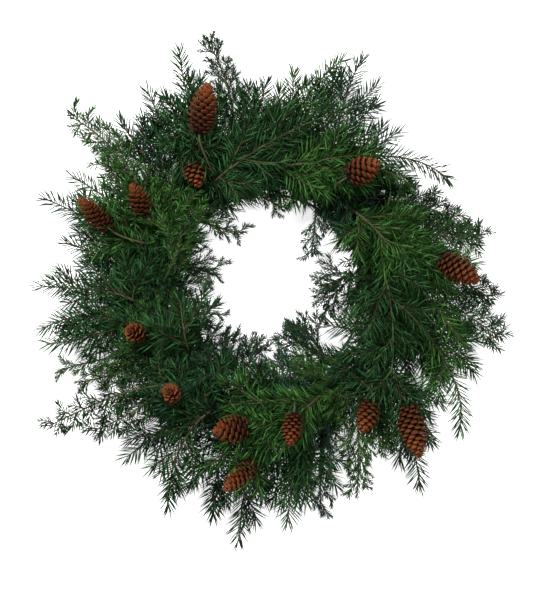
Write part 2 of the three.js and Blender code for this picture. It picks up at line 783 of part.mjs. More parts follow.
// Where a cone lies: lifted until it clears the stems below, with a stalk down to the trough.
function placeCone(space, [stalkEnd, tip, stalkHeight, tipHeight, width]) {
  const base = new THREE.Vector3(...stalkEnd, stalkHeight);
  const end = new THREE.Vector3(...tip, tipHeight);
  const radius = width / 2 + 0.5;
  const inset = end.clone().sub(base).setLength(radius);
  while (!space.free(base.clone().add(inset), end.clone().sub(inset), radius, 1)) {
    base.z += CONE_LIFT;
    end.z += CONE_LIFT;
  }
  const cone = { base, end, width };
  space.add(base.clone().add(inset), end.clone().sub(inset), radius, cone);
  return cone;
}

// The stalk bends down from the cone to the middle of the trough. Its foot is moved along the
// trough to the nearest place where the whole stalk is clear.
function placeStalk(space, cone) {
  const { base, end } = cone;
  const angle = THREE.MathUtils.radToDeg(Math.atan2(base.y, base.x));
  const back = base.clone().sub(end).setLength(14);
  for (let i = 0; i < 60; i += 1) {
    const shift = (i % 2 ? 1 : -1) * Math.ceil(i / 2) * STALK_STEP;
    const foot = onRing(angle + shift, TROUGH_RADIUS - 3 + (i % 3) * 3, STALK.foot);
    const knee = onRing(angle + shift, TROUGH_RADIUS, STALK.knee);
    const curve = new THREE.CubicBezierCurve3(foot, knee, base.clone().add(back), base);
    const chain = curve.getSpacedPoints(10);
    if (chainIsFree(space, chain, STALK.radius, GAP * 2, (owner) => owner === cone)) {
      addChain(space, chain, STALK.radius, cone);
      return curve;
    }
  }
  throw new Error("no room for a cone's stalk");
}

function coneGeometry(cone) {
  const { base, end, width, curve } = cone;
  const along = end.clone().sub(base);
  const body = coneBody(along.length(), width);
  const turn = new THREE.Quaternion();
  turn.setFromUnitVectors(new THREE.Vector3(0, 1, 0), along.clone().normalize());
  body.applyQuaternion(turn).translate(base.x, base.y, base.z);
  const reach = base.clone().addScaledVector(along.normalize(), STALK.inside);
  const points = [...curve.getSpacedPoints(STALK.steps), reach];
  const section = new THREE.Shape(outline(STALK.sides, STALK.radius * 2));
  const stalk = new THREE.ExtrudeGeometry(section, {
    steps: STALK.steps,
    extrudePath: new THREE.CatmullRomCurve3(points),
  });
  return toGeometry(toSolid(body).add(toSolid(stalk)));
}

// ---------------------------------------------------------------- the wreath

function mesh(name, geometry, color, roughness, metalness = 0) {
  const material = new THREE.MeshStandardMaterial({ color, roughness, metalness });
  const piece = new THREE.Mesh(geometry, material);
  piece.name = name;
  return piece;
}

function fixedPieces(space) {
  for (const { halfSpread, height } of [UPPER_RAIL, LOWER_RAIL]) {
    for (const spread of [-halfSpread, halfSpread]) {
      const ring = [];
      for (let i = 0; i <= RAIL_STEPS; i += 1) {
        ring.push(onRing((360 * i) / RAIL_STEPS, TROUGH_RADIUS + spread, height));
      }
      addChain(space, ring, RAIL_THICKNESS / 2, "frame");
    }
  }
  const wire = new BindingPath();
  const steps = Math.round((WINDOWS - 0.5) * WIRE_STEPS);
  const coil = Array.from({ length: steps + 1 }, (_, i) => wire.getPoint(i / steps));
  addChain(space, coil, WIRE_THICKNESS / 2, "wire");
}

function numbered(word, index) {
  return `${word}_${String(index + 1).padStart(2, "0")}`;
}

function wreath() {
  const random = seeded(SEED);
  const space = new Clearance();
  fixedPieces(space);
  const stems = BOUGHS.map((row) => new Stem(row));
  for (const stem of stems) {
    addChain(space, stem.chain(), STEM_RADIUS, stem);
  }
  const cones = CONES.map((row) => placeCone(space, row));
  for (const cone of cones) {
    cone.curve = placeStalk(space, cone);
  }
  const boughs = stems.map((stem) => startBough(stem));
  for (const bough of boughs.filter(({ stem }) => stem.fork)) {
    growFork(space, bough);
  }
  boughs.forEach((bough, i) => growCover(space, bough, i + 1));
  for (const bough of boughs) {
    growTwigs(space, bough);
  }
  for (const bough of boughs) {
    growNeedles(space, bough, random);
  }
  const group = new THREE.Group();
  group.add(mesh("ring_frame", ringFrame(), 0x4a5148, 0.45, 0.9));
  group.add(mesh("binding_wire", bindingWire(), 0x3d4a38, 0.5, 0.8));
  boughs.forEach(({ surface, kind }, i) => {
    group.add(mesh(numbered(`${kind.word}_bough`, i), surface.geometry(), 0x24401f, 0.7));
  });
  cones.forEach((cone, i) => {
    group.add(mesh(numbered("cone", i), coneGeometry(cone), 0x6b4326, 0.75));
  });
  return group;
}

export default wreath();
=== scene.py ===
# %% [markdown]
# # A fresh evergreen wreath
# The wreath lies on its back on a pale table, and the camera looks straight down on it. The CAD
# model fixes every place and size: a ring frame of steel wire, a binding wire, 45 cut boughs and
# 13 cones. It has few needles, so here each bough gets its dense coat, along the same stem. The
# CAD solids stay behind the scene, for collisions, and each piece made here stands for one of them.

import math
import random

import bpy
from mathutils import Matrix, Vector


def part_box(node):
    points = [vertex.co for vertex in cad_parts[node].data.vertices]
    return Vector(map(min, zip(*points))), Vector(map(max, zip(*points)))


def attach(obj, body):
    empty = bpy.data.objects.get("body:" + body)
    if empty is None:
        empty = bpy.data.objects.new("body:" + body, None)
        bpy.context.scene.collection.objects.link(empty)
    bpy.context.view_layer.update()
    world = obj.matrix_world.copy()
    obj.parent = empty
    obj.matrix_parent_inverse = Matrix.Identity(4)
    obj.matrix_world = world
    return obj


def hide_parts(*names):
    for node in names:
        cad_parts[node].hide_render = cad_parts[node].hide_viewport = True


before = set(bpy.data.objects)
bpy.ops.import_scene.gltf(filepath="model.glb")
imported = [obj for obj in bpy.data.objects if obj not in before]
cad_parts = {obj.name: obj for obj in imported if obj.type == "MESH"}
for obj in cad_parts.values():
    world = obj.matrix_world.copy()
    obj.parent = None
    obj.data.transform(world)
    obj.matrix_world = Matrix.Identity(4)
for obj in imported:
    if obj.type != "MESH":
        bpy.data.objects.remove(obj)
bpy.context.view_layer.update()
MM = 0.001
print("CAD nodes:", len(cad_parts))

# %% [markdown]
# ## Small tools
# A node tree is easier to read when one line makes a node, sets it and joins it. `put` does that
# for geometry and for materials alike, and `make` gives the node's first output at once. Maths on
# numbers and on vectors gets helpers too.


# %% Tools for node trees
def put(tree, kind, inputs=None, **settings):
    """Adds a node. `inputs` maps a socket's name or number to a value or to another socket."""
    made = tree.nodes.new(kind)
    for key, value in settings.items():
        setattr(made, key, value)
    for key, value in (inputs or {}).items():
        if isinstance(value, bpy.types.NodeSocket):
            tree.links.new(value, made.inputs[key])
        else:
            made.inputs[key].default_value = value
    return made


def make(tree, kind, inputs=None, **settings):
    """Adds a node and gives its first output."""
    return put(tree, kind, inputs, **settings).outputs[0]


def calc(tree, operation, *values):
    return make(tree, "ShaderNodeMath", dict(enumerate(values)), operation=operation)


def vector_calc(tree, operation, *values):
    return make(tree, "ShaderNodeVectorMath", dict(enumerate(values)), operation=operation)


def scaled(tree, vector, factor):
    return make(tree, "ShaderNodeVectorMath", {0: vector, "Scale": factor}, operation="SCALE")


def combined(tree, x, y, z):
    return make(tree, "ShaderNodeCombineXYZ", {0: x, 1: y, 2: z})


def split(tree, vector):
    """The x, y and z sockets of a vector."""
    return put(tree, "ShaderNodeSeparateXYZ", {0: vector}).outputs


# %% [markdown]
# Geometry Nodes get some tools of their own. A tree is a node group whose inputs have names, and
# `grown` runs it: it sets those inputs on a modifier by their sockets' identifiers, takes the
# finished mesh, and throws the modifier away with its object.


# %% Tools for geometry
def random_value(tree, low, high, seed):
    made = put(tree, "FunctionNodeRandomValue", {2: low, 3: high, "Seed": seed}, data_type="FLOAT")
    return made.outputs[1]


def attribute(tree, name):
    return make(tree, "GeometryNodeInputNamedAttribute", {"Name": name}, data_type="FLOAT")


def stored(tree, geometry, name, value, domain="POINT"):
    """Lets the geometry carry a value, for its material to read."""
    keep = {"Geometry": geometry, "Name": name, "Value": value}
    kinds = {"data_type": "FLOAT", "domain": domain}
    return make(tree, "GeometryNodeStoreNamedAttribute", keep, **kinds)


def own_place(tree):
    return make(tree, "GeometryNodeInputPosition")


def joined(tree, *parts):
    both = put(tree, "GeometryNodeJoinGeometry")
    for part in parts:
        tree.links.new(part, both.inputs[0])
    return both.outputs[0]


def finished(tree, geometry, material):
    """How every tree ends: instances made real, smooth shading, and a material."""
    real = make(tree, "GeometryNodeRealizeInstances", {"Geometry": geometry})
    smooth = make(tree, "GeometryNodeSetShadeSmooth", {"Geometry": real})
    return make(tree, "GeometryNodeSetMaterial", {"Geometry": smooth, "Material": material})


def geometry_tree(name, inputs):
    """A tree with a geometry in and out and the named inputs given as (label, type, value)."""
    tree = bpy.data.node_groups.new(name, "GeometryNodeTree")
    face = tree.interface
    face.new_socket("Geometry", in_out="INPUT", socket_type="NodeSocketGeometry")
    face.new_socket("Geometry", in_out="OUTPUT", socket_type="NodeSocketGeometry")
    for label, kind, value in inputs:
        socket = face.new_socket(label, in_out="INPUT", socket_type="NodeSocket" + kind)
        if value is not None:
            socket.default_value = value
    return tree, put(tree, "NodeGroupInput").outputs


def grown(name, mesh, tree, values):
    """Runs a tree on a mesh and returns the result as a plain mesh object."""
    seed_piece = bpy.data.objects.new(name + "_lines", mesh)
    bpy.context.scene.collection.objects.link(seed_piece)
    modifier = seed_piece.modifiers.new("grow", "NODES")
    modifier.node_group = tree
    for item in tree.interface.items_tree:
        if item.in_out == "INPUT" and item.name in values:
            modifier[item.identifier] = values[item.name]
    ready = seed_piece.evaluated_get(bpy.context.evaluated_depsgraph_get())
    result = bpy.data.meshes.new_from_object(ready)
    result.name = name
    bpy.data.objects.remove(seed_piece)
    piece = bpy.data.objects.new(name, result)
    bpy.context.scene.collection.objects.link(piece)
    return piece


# %% [markdown]
# ## Finishes
# Each finish is a Principled shader with its colour, roughness and bumps from nodes. Noise reads
# Object coordinates, so a pattern stays in place on the piece. Where a finish follows the shape, it
# reads a value that the mesh carries instead.


# %% Tools for finishes
def linear(red, green, blue):
    """Colour as a screen shows it (0 to 255), turned into the linear values that Blender mixes."""
    return tuple((part / 255) ** 2.2 for part in (red, green, blue)) + (1.0,)


def new_material(name):
    material = bpy.data.materials.new(name)
    material.use_nodes = True
    tree = material.node_tree
    return material, tree, tree.nodes["Principled BSDF"]


def mixed(tree, factor, first, second):
    """A colour between two others. Sockets 6 and 7 take them, and 2 gives the mixture."""
    colours = {"Factor": factor, 6: first, 7: second}
    return put(tree, "ShaderNodeMix", colours, data_type="RGBA").outputs[2]


def noise(tree, scale, detail=3.0):
    place = put(tree, "ShaderNodeTexCoord").outputs["Object"]
    grain = {"Vector": place, "Scale": scale, "Detail": detail}
    return make(tree, "ShaderNodeTexNoise", grain)


def roughened(tree, shader, scale, strength, depth):
    """Small bumps in a finish, from noise; `depth` is in mm."""
    grain = {"Height": noise(tree, scale), "Strength": strength, "Distance": depth * MM}
    tree.links.new(make(tree, "ShaderNodeBump", grain), shader.inputs["Normal"])


def carried(tree, name):
    """A value that the mesh carries at each point."""
    return put(tree, "ShaderNodeAttribute", attribute_name=name).outputs["Fac"]


# %% [markdown]
# Needles are waxy: a dark green that varies from one needle to the next, with a soft shine and a
# paler foot. The spread is partly painted light: the rare pale needles are a painted highlight of
# the waxy shine, and the darkest a painted shade between needles. Four tones of it tell old and
# young boughs apart, and they paint light too: the dark tone, mostly on low boughs in the depths,
# is partly painted shade, and the bright one, mostly on high boughs, partly painted light. The
# colour follows two values that each needle carries: `tone`, drawn at random, and `along`, from
# foot to tip. A material for each needle would do the same at great cost. A high power of `tone`
# makes pale needles rare.

# %% Foliage
TONE_POWER, TONE_SHARE, PATCH_SHARE, DARKER = 2.7, 0.95, 0.6, 0.22
FOOT_POWER, FOOT_SHARE = 3.0, 0.5


def foliage_material(name, dark, light, foot):
    """Needles from dark to light, partly painted shade and highlight, with a paler foot, and a
    patchy shine.
    """
    material, tree, shader = new_material(name)
    patch = calc(tree, "MULTIPLY", noise(tree, 14.0), PATCH_SHARE)
    # Painted highlight and shade: the rare pale needles stand for the sheen on the wax, and the
    # many dark ones for the shade between needles.
    pale_tone_and_highlight = calc(tree, "POWER", carried(tree, "tone"), TONE_POWER)
    blend = calc(tree, "ADD", calc(tree, "MULTIPLY", pale_tone_and_highlight, TONE_SHARE), patch)
    green = mixed(tree, calc(tree, "SUBTRACT", blend, DARKER), dark, light)
    from_tip = calc(tree, "SUBTRACT", 1.0, carried(tree, "along"))
    near_foot = calc(tree, "POWER", from_tip, FOOT_POWER)
    colour = mixed(tree, calc(tree, "MULTIPLY", near_foot, FOOT_SHARE), green, foot)
    tree.links.new(colour, shader.inputs["Base Color"])
    rough = calc(tree, "MULTIPLY_ADD", noise(tree, 60.0), 0.25, 0.5)
    tree.links.new(rough, shader.inputs["Roughness"])
    shader.inputs["Specular IOR Level"].default_value = 0.08
    return material


# Each tone has a name and its dark, light and foot colours. The dark tone is partly painted shade
# for low boughs, and the bright one partly painted light for high boughs.
NEEDLE_TONES = {
    "dark": ("dark_needles", (2, 18, 8), (48, 84, 58), (48, 62, 32)),
    "mid": ("green_needles", (3, 24, 8), (55, 98, 57), (54, 68, 34)),
    "bright": ("young_and_lit_needles", (8, 36, 8), (70, 117, 57), (66, 82, 40)),
    "teal": ("blue_green_needles", (3, 25, 18), (56, 98, 82), (52, 68, 46)),
}
FOLIAGE = {
    tone: foliage_material(name, *(linear(*colour) for colour in colours))
    for tone, (name, *colours) in NEEDLE_TONES.items()
}
print("foliage tones:", ", ".join(FOLIAGE))

# %% [markdown]
# Bark is tan with darker rings and specks. A cone's scale has a paler lip, worn by weather, and
# a painted shade at its foot, where the scale above would shade it; scales near the stalk stay in
# the shade of the others, so they are painted darker too.


# %% Bark and cone scales
def bark_material():
    """Tan bark with darker rings and specks."""
    material, tree, shader = new_material("twig_bark")
    coarse = mixed(tree, noise(tree, 90.0), linear(32, 29, 15), linear(76, 64, 38))
    specks = calc(tree, "MULTIPLY", noise(tree, 700.0), 0.5)
    tree.links.new(mixed(tree, specks, coarse, linear(58, 60, 30)), shader.inputs["Base Color"])
    shader.inputs["Roughness"].default_value = 0.75
    roughened(tree, shader, 900.0, 0.4, 0.4)
    return material


def cone_material():
    """Reddish brown scales, with painted shade at the foot and near the stalk, and a worn paler
    lip.
    """
    material, tree, shader = new_material("cone_scale")
    ramp = put(tree, "ShaderNodeValToRGB", {"Fac": carried(tree, "along")})
    stops = ramp.color_ramp.elements
    # Painted shade: the near-black first stop darkens each scale's foot, where the scale above
    # shades it.
    stops[0].position, stops[0].color = 0.55, linear(10, 4, 2)
    stops[1].position, stops[1].color = 0.88, linear(54, 22, 8)
    lip = stops.new(0.97)
    lip.color = linear(112, 60, 29)
    flecks = calc(tree, "MULTIPLY", noise(tree, 220.0), 0.5)
    streaked = mixed(tree, flecks, ramp.outputs[0], linear(32, 13, 6))
    # Painted shade near the stalk, varied at random from scale to scale and fading out towards the
    # tip.
    dimmed = calc(tree, "MULTIPLY_ADD", carried(tree, "tone"), 0.35, 0.6)
    shade = calc(tree, "MULTIPLY", calc(tree, "SUBTRACT", dimmed, carried(tree, "share_to_tip")), 0.9)
    colour = mixed(tree, shade, streaked, linear(20, 9, 5))
    tree.links.new(colour, shader.inputs["Base Color"])
    shader.inputs["Roughness"].default_value = 0.62
    shader.inputs["Specular IOR Level"].default_value = 0.15
    roughened(tree, shader, 600.0, 0.3, 0.3)
    return material


BARK = bark_material()
CONE_SCALE = cone_material()
print("wood finishes:", BARK.name, "and", CONE_SCALE.name)

# %% [markdown]
# The frame is steel wire with a green-black varnish, worn to bare metal in specks. The binding
# wire is the thin green florist's kind. Both are one finish with other colours: noise is cut to
# sharp specks, and these set colour and metal together, so paint never looks like metal.


# %% Varnished wire
def wire_material(name, varnish, metal, worn):
    """Varnish that is worn in sharp-edged specks, where bare metal shows."""
    material, tree, shader = new_material(name)
    edge = make(tree, "ShaderNodeMapRange", {0: noise(tree, 160.0, 6.0), 1: 0.58, 2: 0.68})
    bare = calc(tree, "MULTIPLY", edge, worn)
    tree.links.new(mixed(tree, bare, varnish, metal), shader.inputs["Base Color"])
    tree.links.new(bare, shader.inputs["Metallic"])
    rough = calc(tree, "MULTIPLY_ADD", noise(tree, 400.0), 0.3, 0.25)
    tree.links.new(rough, shader.inputs["Roughness"])
    return material


FRAME_WIRE = wire_material("varnished_steel", linear(34, 46, 34), linear(128, 126, 118), 0.8)
BINDING = wire_material("green_florist_wire", linear(30, 58, 34), linear(120, 124, 112), 0.35)
print("wire finishes:", FRAME_WIRE.name, "and", BINDING.name)

# %% [markdown]
# ## Round bars that follow a path
# Rails, ties, the binding wire and every stalk are round bars on a path. A bevelled curve object
# could make each of them. Here a path is drawn as loose edges in a mesh, and each point carries its
# thickness. One tree turns such lines into bars: it reads the lines as curves and sweeps a circle
# along them, scaled by that thickness. The shoots of the boughs use the same lines later.


# %% The bar tree
def swept(tree, lines, sides):
    """A round skin over the lines, as thick as their points say."""
    circle = make(tree, "GeometryNodeCurvePrimitiveCircle", {"Resolution": sides, "Radius": 0.5})
    sweep = {"Curve": lines, "Profile Curve": circle, "Fill Caps": True}
    sweep["Scale"] = attribute(tree, "thickness")
    return make(tree, "GeometryNodeCurveToMesh", sweep)


def bar_tree():
    """Lines in, smooth round bars of one material out."""
    inputs = [("Sides", "Int", 10), ("Material", "Material", None)]
    tree, given = geometry_tree("Round bars", inputs)
    lines = make(tree, "GeometryNodeMeshToCurve", {"Mesh": given["Geometry"]})
    bars = swept(tree, lines, given["Sides"])
    put(tree, "NodeGroupOutput", {0: finished(tree, bars, given["Material"])})
    return tree


def line_mesh(name, lines, keys):
    """A mesh of loose edges. A line is (points in mm, one value for each key, closed)."""
    points = []
    edges = []
    for path, _, closed in lines:
        first = len(points)
        points += [Vector(at) * MM for at in path]
        edges += [(i, i + 1) for i in range(first, len(points) - 1)]
        if closed:
            edges.append((len(points) - 1, first))
    mesh = bpy.data.meshes.new(name)
    mesh.from_pydata(points, edges, [])
    for k, key in enumerate(keys):
        layer = mesh.attributes.new(key, "FLOAT", "POINT")
        values = [value[k] for _, rows, _ in lines for value in rows]
        layer.data.foreach_set("value", values)
    return mesh


def even(path, thickness, closed=False):
    """A line of one thickness, in mm, along its whole path."""
    return (path, [(thickness * MM,)] * len(path), closed)


BARS = bar_tree()
print("bar tree:", len(BARS.nodes), "nodes")

# %% [markdown]
# ## Ring frame and binding wire
# Two upper and two lower rails make a trough, and eight bent cross ties hold them. The binding
# wire is wound round trough and butts, one turn for each of the 24 bundles. Lengths are in mm up
# to the point where a mesh is made.

# %% Where the wire runs
TROUGH_RADIUS = 131.5
RAIL_THICKNESS = 3.2
TIE_THICKNESS = 3.4
RAILS = ((20.5, 23.5), (7.5, 4.5))  # upper and lower: distance from the trough's middle, height
RAIL_STEPS = 144
TIE_FLAT = TIE_THICKNESS / 2
TIE_LEG = [(20.5, 23.5), (14.0, 11.0), (10.4, 4.6), (9.0, 2.4), (7.2, TIE_FLAT), (0.0, TIE_FLAT)]
TIES = 8
WINDOWS = 24
WINDOW = 360 / WINDOWS
WIRE_THICKNESS = 1.2
WIRE_HALF_WIDTH, WIRE_HALF_HEIGHT, WIRE_HEIGHT = 16.5, 11.3, 12.5
WIRE_LEAD = 14.2
WIRE_TURNS = WINDOWS - 0.5
WIRE_STEPS = 28
WIRE_ROUNDNESS = 0.5


def on_ring(degrees, radius, height=0.0):
    """The point in that direction from the wreath's middle, in mm."""
    angle = math.radians(degrees)
    return Vector((radius * math.cos(angle), radius * math.sin(angle), height))


def rail_line(spread, height):
    angles = [i * 360 / RAIL_STEPS for i in range(RAIL_STEPS)]
    path = [on_ring(angle, TROUGH_RADIUS + spread, height) for angle in angles]
    return even(path, RAIL_THICKNESS, closed=True)


def tie_line(degrees):
    """A tie: down from the outer rail, flat under the trough, and up to the inner rail."""
    other_leg = [(-across, level) for across, level in reversed(TIE_LEG[:-1])]
    section = TIE_LEG + other_leg
    path = [on_ring(degrees, TROUGH_RADIUS + across, level) for across, level in section]
    return even(path, TIE_THICKNESS)


def squarish(value):
    """Pushes a sine or cosine outwards, so that a round turn of wire gets flatter sides."""
    return math.copysign(abs(value) ** WIRE_ROUNDNESS, value)


def wire_point(turns):
    angle = turns * 2 * math.pi
    radius = TROUGH_RADIUS + WIRE_HALF_WIDTH * squarish(math.cos(angle))
    level = WIRE_HEIGHT + WIRE_HALF_HEIGHT * squarish(math.sin(angle))
    return on_ring(90 + WIRE_LEAD - WINDOW * turns, radius, level)


print("binding wire:", WIRE_TURNS, "turns")


# %% Make both
def bars_piece(name, lines, material, sides=10):
    mesh = line_mesh(name, lines, ["thickness"])
    return grown(name, mesh, BARS, {"Sides": sides, "Material": material})


rails = [rail_line(side * spread, height) for spread, height in RAILS for side in (-1, 1)]
ties = [tie_line(WIRE_LEAD - WINDOW / 4 + i * 360 / TIES) for i in range(TIES)]
ring = bars_piece("steel_ring", rails + ties, FRAME_WIRE)
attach(ring, "root")
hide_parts("ring_frame")

steps = round(WIRE_TURNS * WIRE_STEPS)
coil = [wire_point(WIRE_TURNS * i / steps) for i in range(steps + 1)]
wire = bars_piece("florist_wire", [even(coil, WIRE_THICKNESS)], BINDING, sides=8)
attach(wire, "root")
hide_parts("binding_wire")
print("ring:", len(ring.data.polygons), "faces, wire:", len(wire.data.polygons), "faces")

# %% [markdown]
# ## How the boughs are laid
# Each row is one bough, clockwise from the top, with the same numbers as the CAD source: kind,
# window, lane, tip in plan, heading of the tip, height of the stem, tone, and a second tip where
# the bough forks. Boughs scattered at random would make a wreath too, but not this one, so each
# main spray of the picture has its row. The kinds differ in needle length, in how the side twigs
# stand and in how finely they divide.

# %% The table
LOW, MID, HIGH = 31, 44, 66
BOUGHS = [
    ("fir", 0, "outer", (216, 121), 312, MID, "dark"),
    ("fir", 1, "outer", (115, 275), 52, LOW, "dark"),
    ("juniper", 1, "inner", (52, 37), 274, LOW, "teal"),
    ("hemlock", 2, "outer", (233, 57), 296, LOW, "mid"),
    ("fir", 2, "middle", (231, -71), 307, HIGH, "bright", (187, 32)),
    ("hemlock", 3, "outer", (250, 56), 350, MID, "mid"),
    ("hemlock", 4, "outer", (275, -59), 323, LOW, "mid", (264, -15)),
    ("fir", 4, "middle", (139, -144), 264, HIGH, "mid"),
    ("juniper", 4, "inner", (64, -21), 236, LOW, "dark", (72, 21)),
    ("fir", 5, "outer", (220, -171), 254, MID, "bright"),
    ("fir", 6, "outer", (243, -104), 290, LOW, "mid"),
    ("fir", 7, "outer", (176, -236), 268, LOW, "dark"),
    ("juniper", 8, "outer", (103, -241), 262, MID, "bright", (144, -190)),
    ("juniper", 8, "inner", (18, -49), 145, LOW, "dark", (33, -39)),
    ("juniper", 9, "outer", (63, -264), 273, LOW, "teal"),
    ("fir", 9, "middle", (-79, -208), 211, HIGH, "bright"),
    ("fir", 10, "outer", (22, -277), 260, MID, "mid", (10, -253)),
    ("fir", 10, "inner", (-54, -131), 179, HIGH, "bright"),
    ("fir", 11, "outer", (-34, -300), 265, LOW, "dark"),
    ("fir", 12, "outer", (-62, -272), 274, LOW, "dark"),
    ("fir", 13, "outer", (-113, -260), 278, MID, "mid"),
    ("fir", 13, "middle", (-170, -199), 215, LOW, "dark"),
    ("juniper", 13, "inner", (-6, -64), 76, LOW, "dark"),
    ("hemlock", 14, "outer", (-256, -159), 206, MID, "mid", (-205, -164)),
    ("fir", 14, "inner", (-102, 0), 102, HIGH, "mid"),
    ("juniper", 15, "outer", (-245, -95), 199, LOW, "bright", (-224, -107)),
    ("juniper", 15, "inner", (-37, -55), 43, LOW, "dark"),
    ("fir", 16, "outer", (-268, -52), 222, LOW, "mid", (-264, -63)),
    ("juniper", 16, "inner", (-57, -24), 50, LOW, "dark"),
    ("fir", 17, "outer", (-272, 6), 172, MID, "mid"),
    ("fir", 17, "middle", (-243, 57), 167, LOW, "mid"),
    ("juniper", 17, "inner", (-100, 75), 98, HIGH, "bright"),
    ("fir", 18, "outer", (-267, 110), 157, LOW, "dark"),
    ("fir", 18, "middle", (-233, 133), 160, MID, "bright"),
    ("juniper", 18, "inner", (-53, 25), 7, LOW, "dark"),
    ("hemlock", 19, "outer", (-231, 202), 154, MID, "bright", (-187, 153)),
    ("fir", 20, "outer", (-143, 239), 117, LOW, "dark", (-175, 204)),
    ("juniper", 20, "inner", (-21, 67), 7, LOW, "dark"),
    ("fir", 21, "outer", (-102, 285), 93, MID, "mid"),
    ("fir", 21, "middle", (95, 209), 18, HIGH, "mid"),
    ("juniper", 22, "outer", (-75, 296), 127, LOW, "dark"),
    ("fir", 22, "middle", (0, 247), 79, MID, "mid"),
    ("juniper", 22, "inner", (22, 91), 325, LOW, "dark"),
    ("fir", 23, "outer", (95, 271), 30, LOW, "bright"),
    ("fir", 23, "middle", (172, 115), 321, HIGH, "bright"),
]
LANES = {"outer": (140, 0), "middle": (132.5, 0), "inner": (124.5, 2.6)}
KINDS = {
    "fir": {
        "needle": 24, "width": 1.9, "spacing": 1.08, "lean": 50, "flatness": 0.42,
        "step": 15, "twig": 56, "fall": 0.4, "twig_part": 0.52, "twig_lean": 42, "roll": 22,
        "finer": (36, 0.5, 26),
    },
    "hemlock": {
        "needle": 12, "width": 1.8, "spacing": 0.95, "lean": 50, "flatness": 0.45,
        "step": 7, "twig": 32, "fall": 0.6, "twig_part": 0.92, "twig_lean": 56, "roll": 22,
        "finer": (12, 0.4, 10),
    },
    "juniper": {
        "needle": 8, "width": 1.4, "spacing": 0.8, "lean": 38, "flatness": 0.1,
        "step": 9, "twig": 36, "fall": 0.6, "twig_part": 0.9, "twig_lean": 40, "roll": 50,
        "finer": (7, 0.5, 8),
    },
}
print("boughs:", len(BOUGHS))

# %% [markdown]
# ## The stem
# A stem leaves its butt along the trough and turns to its tip in one sweep. A cubic Bezier in plan
# does that with four points: both ends, and a handle at each that gives the direction there. The
# stem climbs out between two turns of the wire, high enough to pass over the rail, and hangs a
# little at the tip.

# %% Smooth paths
PATH_STEPS = 200


def smoothstep(value, low, high):
    """0 below `low`, 1 above `high`, with a soft start and end between them."""
    share = min(max((value - low) / (high - low), 0.0), 1.0)
    return share * share * (3 - 2 * share)


def smoothstep_place(share):
    """The place between 0 and 1 where a smoothstep reaches that share."""
    return 0.5 - math.sin(math.asin(1 - 2 * share) / 3)


def bezier(points, t):
    """The point at t of a Bezier curve, by drawing its control points together."""
    while len(points) > 1:
        points = [a.lerp(b, t) for a, b in zip(points, points[1:])]
    return points[0]


class Path:
    """A smooth path through Bezier control points, read by distance from its start."""

    def __init__(self, points):
        self.samples = [bezier(points, i / PATH_STEPS) for i in range(PATH_STEPS + 1)]
        self.distances = [0.0]
        for a, b in zip(self.samples, self.samples[1:]):
            self.distances.append(self.distances[-1] + (b - a).length)
        self.length = self.distances[-1]

    def at(self, distance):
        if distance >= self.length:
            return self.samples[-1].copy()
        i = max(k for k in range(PATH_STEPS) if self.distances[k] <= max(distance, 0.0))
        span = self.distances[i + 1] - self.distances[i]
        return self.samples[i].lerp(self.samples[i + 1], (distance - self.distances[i]) / span)


# %% The stem's path
BUTT_HEIGHT, CLIMB_START, RAIL_SPREAD, RAIL_HEIGHT = 10, 6, 15.5, 27.4
# Handles and the bare part near the butt, as shares of the reach or length, with their limits.
LEAVE_LEAST, LEAVE_SHARE, ARRIVE_SHARE = 34, 0.32, 0.38
BARE_MOST, BARE_SHARE = 52, 0.45
CLIMB_MOST, CLIMB_MOST_SHARE = 25, 0.6
STEM_DROOP = 0.14


class Stem(Path):
    """A bough's main stem, from its butt in the trough to its tip."""

    def __init__(self, window, lane, tip, heading, crest):
        radius, ahead = LANES[lane]
        angle = 90 - WINDOW * window - ahead
        butt, end = on_ring(angle, radius), Vector((*tip, 0))
        reach = (end - butt).length
        out = butt + on_ring(angle - 90, max(LEAVE_LEAST, LEAVE_SHARE * reach))
        back = end - on_ring(heading, ARRIVE_SHARE * reach)
        super().__init__([butt, out, back, end])
        self.crest = crest
        self.bare = min(BARE_MOST, BARE_SHARE * self.length)
        self.climb_end = self.find_climb_end()

    def find_climb_end(self):
        """The climb ends in time for the stem to pass over the rail where the two cross."""
        gate = 0
        while gate < self.length - 1:
            plan = super().at(gate)
            if abs(math.hypot(plan.x, plan.y) - TROUGH_RADIUS) > RAIL_SPREAD:
                break
            gate += 1
        share = (RAIL_HEIGHT - BUTT_HEIGHT) / (self.crest - BUTT_HEIGHT)
        needed = (gate - CLIMB_START) / smoothstep_place(share)
        return min(CLIMB_START + needed, CLIMB_START + CLIMB_MOST + CLIMB_MOST_SHARE * self.crest)

    def at(self, distance):
        point = super().at(distance)
        rise = smoothstep(distance, CLIMB_START, self.climb_end)
        droop = smoothstep(distance, self.bare, self.length)
        point.z = BUTT_HEIGHT + (self.crest - BUTT_HEIGHT) * rise - STEM_DROOP * self.crest * droop
        return point


STEMS = [Stem(*row[1:6]) for row in BOUGHS]
lengths = [stem.length for stem in STEMS]
print("stems:", round(min(lengths)), "to", round(max(lengths)), "mm long")

# %% [markdown]
# ## Where the cones lie
# Each row is one cone: stalk end and tip in plan, the heights of both, and the width. A cone in
# CAD was raised in small steps until it lay clear of the stems, so its real height is read from
# its box.

